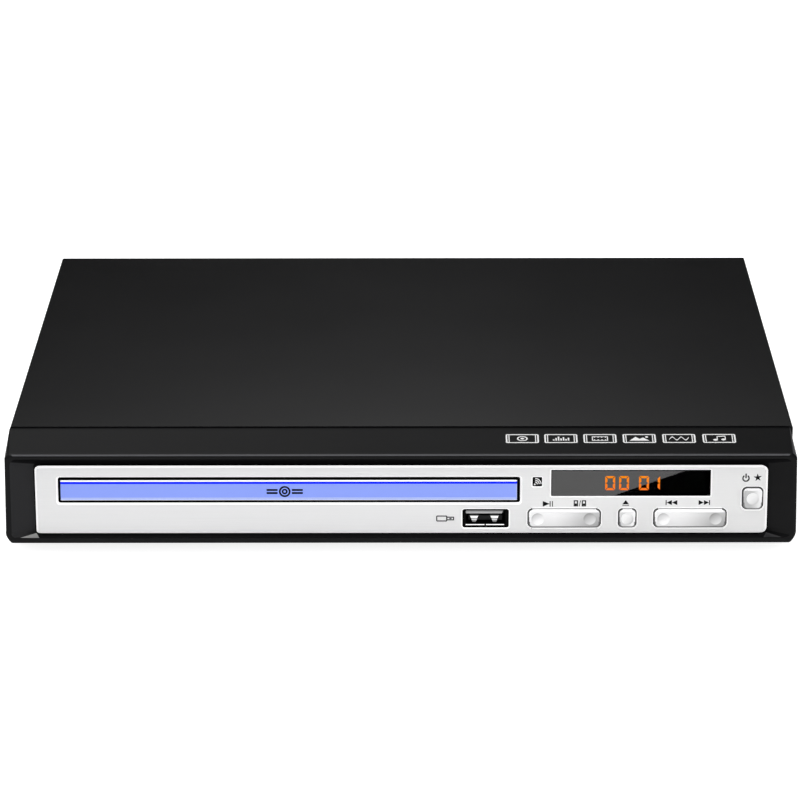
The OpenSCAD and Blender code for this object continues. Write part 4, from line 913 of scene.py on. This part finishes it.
print("a bowl is", bowl(np.zeros(1), np.zeros(1), [(0, 0)])[0], "mm deep and", 2 * DIMPLE_R, "mm wide")

# %% [markdown]
# # The four keys
# A key cap is skinned from rounded loops: up the skirt, round the edge, over a narrow rim, down a
# small step and inwards over the face until the loop has closed to a line. What is behind the
# wall, such as the pivot and the nubs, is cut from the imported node.

# %% Key caps


def behind(node, y):
    """Points and faces of the part of a node that lies behind depth y, closed where it was cut."""
    work = bmesh.new()
    work.from_mesh(NODES[node].data)
    bmesh.ops.remove_doubles(work, verts=work.verts, dist=2e-6)
    everything = work.verts[:] + work.edges[:] + work.faces[:]
    bmesh.ops.bisect_plane(work, geom=everything, plane_co=(0, y * MM, 0), plane_no=(0, 1, 0),
                           clear_inner=True)
    bmesh.ops.holes_fill(work, edges=[e for e in work.edges if e.is_boundary])
    points = np.array([v.co for v in work.verts]) / MM
    faces = [[v.index for v in f.verts] for f in work.faces]
    work.free()
    return points, faces


def key_cap(name, node, centre, half, radius, face, dimples, highlight_left=True):
    """A cap round `centre` with half sizes `half`, from its skirt to the closed face."""
    front = edges_of(node)[0][1]
    back = front + 5.2
    profile = [(0.0, back), (0.0, front + 0.5), (0.03, front + 0.3), (0.1, front + 0.14),
               (0.2, front + 0.04), (0.34, front), (0.34 + KEY_RIM, front),
               (0.46 + KEY_RIM, front + KEY_STEP)]
    steps = np.linspace(0.55 + KEY_RIM, half[1], 22)
    profile += [(inset, front + KEY_STEP) for inset in steps]
    across = max(6, int(half[0] * 7))
    loops = []
    for inset, y in profile:
        loop = rounded_loop(half[0] - inset, max(half[1] - inset, 1e-4), max(radius - inset, 1e-4),
                            across=across, up_side=16, bend=7)
        placed = on_front(loop, centre, y)
        if inset > KEY_RIM + 0.4:
            placed[:, 1] += bowl(placed[:, 0], placed[:, 2], [d[:2] for d in dimples])
        loops.append(placed)
    points, faces = skinned(loops, both_ends=False)
    rear_points, rear_faces = behind(node, back - 0.3)
    faces += [[i + len(points) for i in f] for f in rear_faces]
    made = make_object(name, np.concatenate([points, rear_points]), faces)
    made.data.set_sharp_from_angle(angle=math.radians(40))
    set_painted_sheen(made, cap_painted_sheen(corners_of(made), front, centre, half, radius, face, dimples, highlight_left))
    return dress(made, key_silver, BODY_OF[node], node)


ROCKER_HALF, EJECT_HALF, POWER_HALF = (11.57, 3.0), (2.7, 3.0), (3.16, 3.57)
# Painted sheen of each key: left, right and rise for the face; for each dimple its value, climb and shade
# crescent.
ROCKER_SHEEN = (0.85, 0.46, 0.12)
for name, x in (("play_channel", PLAY_X), ("skip", SKIP_X)):
    key_cap(name + "_cap", name + "_button", (x, KEYS_Z), ROCKER_HALF, 1.4, ROCKER_SHEEN,
            [(x - 8.6, KEYS_Z, 0.82, 0.13, -0.2, 0.1), (x + 8.25, KEYS_Z, 0.56, 0.11, -0.17, 0.08)])
key_cap("eject_cap", "eject_button", (EJECT_X, KEYS_Z), EJECT_HALF, 1.3, (0.66, 0.96, 0.03),
        [(EJECT_X, KEYS_Z, 0.85, -0.16, 0.16, 0.2)], highlight_left=False)
key_cap("power_cap", "power_button", POWER, POWER_HALF, 1.5, (0.52, 0.88, 0.03),
        [(*POWER, 0.86, -0.12, 0.18, 0.1)], highlight_left=False)
print("two rocker keys at", PLAY_X, "and", SKIP_X, "and two press keys at", EJECT_X, "and", POWER[0])

# %% [markdown]
# # The display
# Behind a smoked window lies a black module with seven-segment digits. The window is a solid block
# of tinted plastic, so that the room shines on its face. The unlit segments lie on the module, and
# the lit ones are a film that glows orange on the window's face, so that no reflection dims them.
# Each segment is a small bar with slanted ends, and narrow gaps part them.

# %% Window
window_low, window_high = edges_of("display_window")
window_half = (window_high - window_low)[[0, 2]] / 2
window_mid = ((window_high + window_low) / 2)[[0, 2]]
rings = [(0.0, window_high[1]), (0.0, window_low[1] + 0.16), (0.05, window_low[1] + 0.05),
         (0.16, window_low[1])]
loops = [on_front(rounded_loop(window_half[0] - inset, window_half[1] - inset, 0.3), window_mid, y)
         for inset, y in rings]
window = make_object("smoked_window", *skinned(loops))
window.data.set_sharp_from_angle(angle=math.radians(12))
dress(window, smoke, "case", "display_window")
print("window", (2 * window_half).round(1).tolist(), "mm")

# %% Digits
DIGIT_LEFT = (66.42, 70.9, 77.33, 80.9)
DIGIT_LOW, DIGIT_TALL, DIGIT_WIDE = 21.43, 4.81, 3.2
SEGMENT, GAP = 0.72, 0.17
FILM_SHIFT = (-0.23, 0.84)
SHOWN = "0001"
LIT = {"0": "abcdef", "1": "bc"}


def segment(letter):
    """The corners of one segment in a digit's box, from the lower left corner at (0, 0). Upright
    segments are drawn as the upper left one and mirrored, flat ones as the top one."""
    wide, tall, thick, gap = DIGIT_WIDE, DIGIT_TALL, SEGMENT, GAP
    if letter == "g":
        ends = np.array([[gap, 0], [thick / 2 + gap, thick / 2], [wide - thick / 2 - gap, thick / 2]])
        return np.concatenate([ends + (0, tall / 2), (wide, tall / 2) - ends])
    if letter in "ad":
        corners = [(gap, tall), (wide - gap, tall), (wide - thick - gap, tall - thick),
                   (thick + gap, tall - thick)]
    else:
        corners = [(0, tall - gap), (thick, tall - thick - gap), (thick, tall / 2 + thick / 2 + gap / 2),
                   (thick / 2, tall / 2 + gap / 2), (0, tall / 2 + gap / 2)]
    corners = np.array(corners)
    if letter in "bc":
        corners[:, 0] = wide - corners[:, 0]
    if letter in "cde":
        corners[:, 1] = tall - corners[:, 1]
    return corners


def segments(letters, digit_left):
    """Closed strips, one for each segment of a digit: its outline and its middle line."""
    strips = []
    for letter in letters:
        edge = segment(letter) + (digit_left, DIGIT_LOW)
        strips.append((edge, np.repeat(edge.mean(0)[None], len(edge), 0), True))
    return strips


print("the display shows", SHOWN, "in digits of", DIGIT_WIDE, "by", DIGIT_TALL, "mm")

# %% [markdown]
# # Printing
# A sign is a set of strips: two rows of points, joined by quads, such as the outer and inner edge
# of a ring. A place function carries its two flat coordinates on to a surface, and a thin
# Solidify gives the ink its thickness.

# %% Strips and printing
INK = 0.03
ABOVE = 0.012                                  # how far the ink's middle lies off its surface


def filled(points):
    """A filled outline: the strip runs from its edge to its middle."""
    points = np.asarray(points, float)
    return points, np.repeat(points.mean(0)[None], len(points), 0), True


def ring(cx, cz, outer, inner=0.0, flat=1.0):
    """A ring or a disc of two circles; flat squeezes its height."""
    angle = np.linspace(0, 2 * np.pi, 40, endpoint=False)
    circle = np.stack([np.cos(angle), flat * np.sin(angle)], -1)
    return circle * outer + (cx, cz), circle * inner + (cx, cz), True


def arc(cx, cz, radius, start, end, width, count=20):
    """A bow from one angle to another, in degrees, `width` across."""
    angle = np.radians(np.linspace(start, end, count))
    bow = np.stack([np.cos(angle), np.sin(angle)], -1)
    return bow * (radius + width / 2) + (cx, cz), bow * (radius - width / 2) + (cx, cz), False


def box(x0, z0, x1, z1):
    """A filled rectangle."""
    return filled([(x0, z0), (x1, z0), (x1, z1), (x0, z1)])


def outline(x0, z0, x1, z1, width, radius=0.2):
    """A rectangle drawn as a line of `width`, with round corners."""
    half = np.array([x1 - x0, z1 - z0]) / 2
    centre = np.array([x0 + x1, z0 + z1]) / 2
    return (rounded_loop(*half, radius, 2, 2, 4) + centre,
            rounded_loop(*(half - width), max(radius - width, 0.02), 2, 2, 4) + centre, True)


def shifted(strips, dx, dz):
    """The strips moved by dx and dz."""
    return [(a + (dx, dz), b + (dx, dz), closed) for a, b, closed in strips]


def printed(name, strips, place, material, body="case"):
    """One object from many strips, laid on a surface by place(u, v) -> points and given the ink's
    thickness."""
    points, faces, start = [], [], 0
    for a, b, closed in strips:
        flat = np.concatenate([a, b])
        points.append(place(flat[:, 0], flat[:, 1]))
        faces.append(grid_faces(2, len(a), closed) + start)
        start += len(flat)
    made = make_object(name, np.concatenate(points), np.concatenate(faces), smooth=False)
    thicken(made, "ink", INK)
    return dress(made, material, body)


def front_of(node, above=ABOVE):
    """A place function for the plane that lies `above` mm before a node's front face."""
    y = edges_of(node)[0][1] - above
    return lambda u, v: np.stack([u, np.full(len(u), y), v], -1)


print("ink", INK, "mm thick, its middle", ABOVE, "mm above the surface")

# %% The lit and unlit digits
glow, tree, lamp = new_material("display_glow")
place = node_in(tree, "ShaderNodeTexCoord").outputs["Object"]
split = node_in(tree, "ShaderNodeSeparateXYZ", {"Vector": place})
ramp_low = (DIGIT_LOW + FILM_SHIFT[1]) * MM
climb = node_in(tree, "ShaderNodeMapRange", {"Value": split.outputs["Z"]},
                From_Min=ramp_low, From_Max=ramp_low + DIGIT_TALL * MM)
warm = node_in(tree, "ShaderNodeMix", {"Factor": climb.outputs[0]}, data_type="RGBA",
               A=srgb(255, 122, 40), B=srgb(255, 142, 16))
tree.links.new(warm.outputs["Result"], lamp.inputs["Emission Color"])
set_inputs(lamp, Emission_Strength=1.0, Base_Color=(0, 0, 0, 1), Specular_IOR_Level=0.0, Roughness=0.4)
dark_segment = finish("dark_segment", srgb(38, 30, 28), 0.5, tone=0.1, bump=0.0)

lit = [s for left, digit in zip(DIGIT_LEFT, SHOWN) for s in segments(LIT[digit], left)]
unlit = [s for left, digit in zip(DIGIT_LEFT, SHOWN)
         for s in segments([c for c in "abcdefg" if c not in LIT[digit]], left)]
printed("lit_segments", shifted(lit, *FILM_SHIFT), front_of("display_window"), glow)
printed("unlit_segments", unlit, front_of("led_display", 0.03), dark_segment)
print(len(lit), "lit and", len(unlit), "unlit segments")

# %% [markdown]
# # Signs beside the keys
# The signs are the common ones: play and pause, two loudspeakers for the channel, eject, the two
# skips, the power sign with a star beside it, a memory stick by the socket and rays by the
# receiver. The tray's front piece has a disc with two bars on each side.

# %% Plate signs
PLAY_Z, SPEAKER_Z, SKIP_Z = (16.62, 18.5), (16.65, 18.75), (17.1, 18.78)     # foot and top


def triangle(x0, x1, z0, z1):
    """A triangle that points from x0 to x1."""
    return filled([(x0, z0), (x1, (z0 + z1) / 2), (x0, z1)])


def loudspeaker(x0, x1):
    """A small loudspeaker box from x0 to x1: a frame with a cone."""
    low, high = SPEAKER_Z
    return [outline(x0, low, x1, high, 0.36, 0.1), ring((x0 + x1) / 2, low + 0.7, 0.36)]


def star(cx, cz, radius):
    """A star with five thin rays."""
    angle = np.linspace(0, 2 * np.pi, 10, endpoint=False) + 0.4
    reach = np.where(np.arange(10) % 2 == 0, radius, radius * 0.38)
    return filled(np.stack([cx + reach * np.cos(angle), cz + reach * np.sin(angle)], -1))


def bar(x0, x1, heights):
    """An upright bar from x0 to x1."""
    return box(x0, heights[0], x1, heights[1])


signs = [triangle(46.1, 48.3, *PLAY_Z), bar(48.32, 48.62, PLAY_Z), bar(49.1, 49.38, PLAY_Z)]
signs += loudspeaker(56.1, 57.5) + loudspeaker(58.7, 60.1)
signs += [filled([(57.8, 16.7), (58.02, 16.7), (58.4, 18.7), (58.18, 18.7)])]
signs += [filled([(71.85, 17.35), (74.0, 17.35), (72.92, 18.8)]), box(71.85, 16.82, 74.0, 17.02)]
signs += [bar(85.82, 86.14, SKIP_Z), triangle(87.85, 86.15, *SKIP_Z), triangle(89.6, 87.9, *SKIP_Z)]
signs += [bar(99.86, 100.18, SKIP_Z), triangle(98.2, 99.85, *SKIP_Z), triangle(96.5, 98.15, *SKIP_Z)]
signs += [arc(111.6, 26.25, 1.0, 122, 418, 0.44), box(111.38, 26.3, 111.82, 27.85), star(115.4, 26.5, 1.4)]
signs += [outline(11.6, 11.5, 15.2, 13.55, 0.36, 0.4), outline(14.9, 11.9, 17.4, 13.15, 0.34, 0.1)]
signs += [box(15.85, 12.35, 16.6, 12.7)]
printed("plate_signs", signs, front_of("front_plate"), sign_ink)

RAYS_FROM = (43.45, 24.25)
rays = [ring(*RAYS_FROM, 0.3)] + [arc(*RAYS_FROM, r, 4, 86, 0.32, 14) for r in (0.85, 1.45, 2.05)]
printed("receiver_sign", rays, front_of("ir_window"), badge_ink)

disc_sign = [ring(-37.35, 22.04, 1.89, 1.3), ring(-37.35, 22.04, 0.95, 0.4)]
disc_sign += [box(x0, z0, x1, z0 + 0.65) for x0, x1 in ((-43.2, -39.65), (-35.05, -31.5))
              for z0 in (22.25, 21.2)]
printed("tray_sign", disc_sign, front_of("tray_front"), sign_ink, "tray")
print("strips:", len(signs), "on the plate,", len(rays), "by the receiver,", len(disc_sign), "on the tray")

# %% [markdown]
# # The socket
# A black surround fills the plate's opening, and the shell's sleeve behind it is black as painted
# shade. In it lie the parts of the steel shell that catch the light, painted as a sheen or a
# glowing highlight: the flared lip, two spring fingers and the edge of the floor, which is split
# in the middle. Each is a thin bent strip: a path in depth and height, with a half width at each
# of its points.

# %% Socket


def tube(name, outer, inner, centre, y0, y1):
    """A ring with thickness, from y0 back to y1, between two loops with equally many points."""
    rims = ((outer, y0), (outer, y1), (inner, y1), (inner, y0), (outer, y0))
    loops = [on_front(loop, centre, y) for loop, y in rims]
    return make_object(name, np.concatenate(loops), grid_faces(5, len(outer), closed=True), smooth=False)


def bent_strip(name, x, path, sheens=None):
    """A dressed strip whose middle lies x from the socket's, along a path of (y, z from the
    socket's middle, half width). It is silver with a painted sheen of `sheens` at the path's
    points, or else a glowing painted highlight."""
    rows = [[(USB_X + x - half, y, USB_Z + z), (USB_X + x + half, y, USB_Z + z)] for y, z, half in path]
    made = make_object(name, np.array(rows).reshape(-1, 3), grid_faces(len(path), 2), smooth=False)
    if sheens:
        heights = np.array([USB_Z + z for _, z, _ in path])
        order = np.argsort(heights)
        set_painted_sheen(made, np.interp(corners_of(made)[:, 2], heights[order], np.array(sheens)[order]))
    thicken(made, "thickness", 0.12)
    return dress(made, key_silver if sheens else plate_edge_highlight, "case", slot=SLOT_OF["usb_shell"])


surround = tube("usb_surround", rounded_loop(7.5, 3.18, 0.55), rounded_loop(6.4, 2.72, 0.3),
                (USB_X, USB_Z - 0.13), -107.95, -106.6)
dress(surround, black_and_painted_shade, "case", slot=SLOT_OF["usb_shell"])
# The shell's sleeve is dressed black: painted shade.
sleeve = tube("usb_sleeve", rounded_loop(6.6, 2.85, 0.4), rounded_loop(6.3, 2.6, 0.3),
              (USB_X, USB_Z), -106.6, -94)
dress(sleeve, black_and_painted_shade, "case", "usb_shell")
# The lip's and fingers' sheens are painted light, from dark to pale; strips without sheens glow as painted
# highlight.
bent_strip("usb_lip", -0.45, [(-107.8, 2.85, 6.3), (-107.55, 2.5, 6.2), (-107.45, 2.0, 6.0),
                              (-107.5, 1.42, 5.8)], sheens=(0.05, 0.2, 0.36, 0.52))
for name, x in (("usb_finger_left", -3.66), ("usb_finger_right", 2.95)):
    bent_strip(name + "_top", x, [(-106.6, 0.12, 1.28), (-106.7, -0.42, 1.04)])
    bent_strip(name + "_crest", x, [(-106.4, 0.45, 1.44), (-106.6, 0.14, 1.3)], sheens=(0.05, 0.5))
    bent_strip(name, x, [(-106.68, -0.44, 1.03), (-106.66, -0.62, 0.98), (-106.64, -0.7, 0.95),
                         (-106.65, -1.15, 0.8), (-106.4, -1.5, 0.68), (-106.2, -2.0, 0.48)],
               sheens=(0.1, 0.1, 0.85, 0.6, 0.45, 0.12))
for name, low, high in (("usb_edge_left", -6.4, -0.34), ("usb_edge_right", 0.16, 6.05)):
    half = (high - low) / 2
    bent_strip(name, (low + high) / 2, [(-107.98, -2.44, half), (-107.94, -2.17, half)])
print("socket at", USB_X, USB_Z)

# %% [markdown]
# # Badges on the sloping strip
# Six small badges in white ink, each a frame with a thin line at both ends and a plain
# pictogram: a disc, bars of sound, a film frame, a landscape, a wave and notes. They lie on the
# strip's slope, so their second coordinate runs up the slope from the rim.

# %% Strip badges
SLOPE_FOOT = np.array([bezel_low[1] + 0.9, 35.32])
SLOPE_TOP = np.array([-92.5, bezel_high[2] + STRIP_LIFT])
slope_length = np.linalg.norm(SLOPE_TOP - SLOPE_FOOT)
slope_along = (SLOPE_TOP - SLOPE_FOOT) / slope_length
slope_out = np.array([-slope_along[1], slope_along[0]])


def on_strip(u, v):
    """A point of the strip: u along X, v up the slope, just above its surface."""
    at = SLOPE_FOOT + np.outer(v, slope_along) + slope_out * 0.015
    return np.stack([u, at[:, 0], at[:, 1]], -1)


def badge(icon):
    """A badge round (0, 0): a thick frame, a thin line at each end and an icon."""
    ends = [box(-4.45, -2.3, -4.15, 2.3), box(4.15, -2.3, 4.45, 2.3)]
    return [outline(-5.35, -2.9, 5.35, 2.9, 0.5, 0.6)] + ends + icon


film = [outline(-2.6, -1.4, 2.6, 1.4, 0.3, 0.1)]
film += [box(x - 0.2, z - 0.2, x + 0.2, z + 0.2) for x in (-1.8, -0.6, 0.6, 1.8) for z in (-0.85, 0.85)]
levels = (0.6, 1.3, 2.0, 1.1, 1.7, 0.8, 1.4)
bars = [box(-2.6 + 0.8 * i, -1.3, -2.1 + 0.8 * i, -1.3 + 1.3 * level) for i, level in enumerate(levels)]
wave_x = np.linspace(-3.2, 3.2, 40)
wave_z = 1.0 * np.sin(wave_x * 2.2)
wave = [(np.stack([wave_x, wave_z + 0.28], -1), np.stack([wave_x, wave_z - 0.28], -1), False)]
hills = [filled([(-3.2, -1.4), (-1.2, 1.1), (0.2, -0.4), (1.2, 0.6), (3.2, -1.4)]), ring(2.4, 1.0, 0.5)]
notes = [ring(-1.2, -0.9, 0.75, flat=0.8), box(-0.75, -0.9, -0.45, 1.5), ring(1.4, -0.7, 0.75, flat=0.8),
         box(1.85, -0.7, 2.15, 1.7), filled([(-0.75, 1.1), (2.15, 1.3), (2.15, 1.8), (-0.75, 1.6)])]
icons = [[ring(0, 0, 1.75, 1.3, flat=0.9), ring(0, 0, 0.6, flat=0.9)], bars, film, hills, wave, notes]
BADGES_X, BADGES_V = (39.55, 52.05, 64.7, 77.45, 90.3, 103.3), 0.56 * slope_length
marks = [strip for icon, x in zip(icons, BADGES_X) for strip in shifted(badge(icon), x, BADGES_V)]
printed("strip_badges", marks, on_strip, badge_ink)
print(len(icons), "badges of", len(marks), "strips")

# %% [markdown]
# # Floor, cards and light
# The player stands on a plain pale floor in soft light: a broad softbox above, a smaller one in
# front and an even room. The room is white to the camera and to mirrors. Black pieces are lit as
# a studio lights them: dark cards stand all round, which only reflections see, so that the cover
# stays black with a soft rise of light towards the front.

# %% Floor
floor_points = np.array([[-4, -4, 0], [4, -4, 0], [4, 4, 0], [-4, 4, 0]]) / MM
floor = make_object("floor", floor_points, [[0, 1, 2, 3]], smooth=False)
paper, tree, sheet = new_material("floor_paper")
set_inputs(sheet, Base_Color=(0.82, 0.82, 0.82, 1), Roughness=0.9, Specular_IOR_Level=0.1)
seen = node_in(tree, "ShaderNodeLightPath").outputs["Is Camera Ray"]
lift = node_in(tree, "ShaderNodeEmission", {"Strength": math_in(tree, "MULTIPLY", seen, 0.84)})
both = node_in(tree, "ShaderNodeAddShader")
tree.links.new(sheet.outputs[0], both.inputs[0])
tree.links.new(lift.outputs[0], both.inputs[1])
tree.links.new(both.outputs[0], tree.nodes["Material Output"].inputs["Surface"])
floor.data.materials.append(paper)
print("floor of", len(floor.data.polygons), "face")

# %% Cards that only reflections see


def card(name, points, faces, light):
    """A stage card that gives off `light` and is seen only in reflections. Returns its material's
    node tree and the node that glows."""
    made = make_object(name, points, faces)
    material, tree, unlit_shader = new_material(name)
    tree.nodes.remove(unlit_shader)
    glow = node_in(tree, "ShaderNodeEmission", Strength=light)
    tree.links.new(glow.outputs[0], tree.nodes["Material Output"].inputs["Surface"])
    made.data.materials.append(material)
    for kind in ("camera", "diffuse", "transmission", "volume_scatter", "shadow"):
        setattr(made, "visible_" + kind, False)
    return tree, glow


CARDS_AWAY, CARDS_ROUND = 1600, 72             # distance in mm, and how many steps round
turn = np.linspace(0, 2 * np.pi, CARDS_ROUND + 1)[:-1]
rise = np.radians([3, 12, 22, 34, 46, 58])
rings = [np.stack([np.cos(e) * np.cos(turn), np.cos(e) * np.sin(turn), np.full(CARDS_ROUND, np.sin(e))], -1)
         for e in rise]
tree, glow_node = card("dark_cards", CARDS_AWAY * np.concatenate(rings),
                       grid_faces(len(rise), CARDS_ROUND, closed=True), 1.0)
place = node_in(tree, "ShaderNodeTexCoord").outputs["Object"]
split = node_in(tree, "ShaderNodeSeparateXYZ", {"Vector": place})
height = node_in(tree, "ShaderNodeMapRange", {"Value": split.outputs["Z"]}, From_Max=1.6)
climb = node_in(tree, "ShaderNodeValToRGB", {"Fac": height.outputs[0]})
for at, light in ((0.37, 0.02), (0.43, 0.8), (0.5, 0.6), (0.58, 0.28), (0.7, 0.28), (0.86, 1.0)):
    stop = climb.color_ramp.elements.new(at)
    stop.color = (light, light, light, 1)
climb.color_ramp.elements[0].color = (0.02, 0.02, 0.02, 1)
across = node_in(tree, "ShaderNodeMapRange", {"Value": split.outputs["X"]},
                 From_Min=-0.3, From_Max=0.22, To_Min=1.4, To_Max=0.0)
from_middle = math_in(tree, "ABSOLUTE", split.outputs["X"], 0.0)
peak = node_in(tree, "ShaderNodeMapRange", {"Value": from_middle},
               From_Max=0.4, To_Min=1.75, To_Max=0.7)
high_up = node_in(tree, "ShaderNodeMapRange", {"Value": height.outputs[0]},
                  From_Min=0.5, From_Max=0.57)
sideways = node_in(tree, "ShaderNodeMix", {"Factor": high_up.outputs[0], "A": peak.outputs[0],
                                           "B": across.outputs[0]})
light = math_in(tree, "MULTIPLY", climb.outputs["Color"], sideways.outputs[0])
tree.links.new(light, glow_node.inputs["Strength"])

# Two low cards lie on the floor in front, a bright and a dark one, and meet in a slant line that
# runs across the window. Each is given by its ends at the near and at the far side.
CARD_NEAR, CARD_FAR, CARD_UP = -158, -196, 0.5
for name, near, far, light in (("window_bright", (44, 66.4), (105.5, 44), 2.8),
                               ("window_dark", (66.4, 114), (114, 105.5), 0.0)):
    low_card = [[x, CARD_NEAR, CARD_UP] for x in near] + [[x, CARD_FAR, CARD_UP] for x in far]
    card(name, low_card, [[0, 1, 2, 3]], light)
print(len(rise), "rings of dark cards and two low ones")

# %% Lamps and room


def softbox(name, at, aim, size, watts):
    """An area lamp at a point, turned to another, both in metres."""
    made = in_scene(name, bpy.data.lights.new(name, "AREA"))
    made.data.shape = "RECTANGLE"
    made.data.size, made.data.size_y = size
    made.data.energy = watts
    made.location = at
    made.rotation_euler = (Vector(aim) - Vector(at)).to_track_quat("-Z", "Y").to_euler()


softbox("softbox_above", (-0.25, -0.25, 1.3), (0, 0, 0), (1.3, 1.0), 8.0)
softbox("softbox_front", (0.3, -1.7, 1.0), (0, -0.1, 0.02), (1.0, 0.7), 8.5)

# The room gives half of its light to surfaces and all of it to the camera, to mirrors and to glass.
world = bpy.data.worlds.new("room")
bpy.context.scene.world = world
world.use_nodes = True
tree = world.node_tree
path = node_in(tree, "ShaderNodeLightPath")
plain = math_in(tree, "MAXIMUM", path.outputs["Is Camera Ray"],
                math_in(tree, "MAXIMUM", path.outputs["Is Glossy Ray"], path.outputs["Is Transmission Ray"]))
strength = math_in(tree, "MULTIPLY_ADD", plain, 0.5)
strength.node.inputs[2].default_value = 0.5
tree.links.new(strength, tree.nodes["Background"].inputs["Strength"])
tree.nodes["Background"].inputs["Color"].default_value = (1, 1, 1, 1)
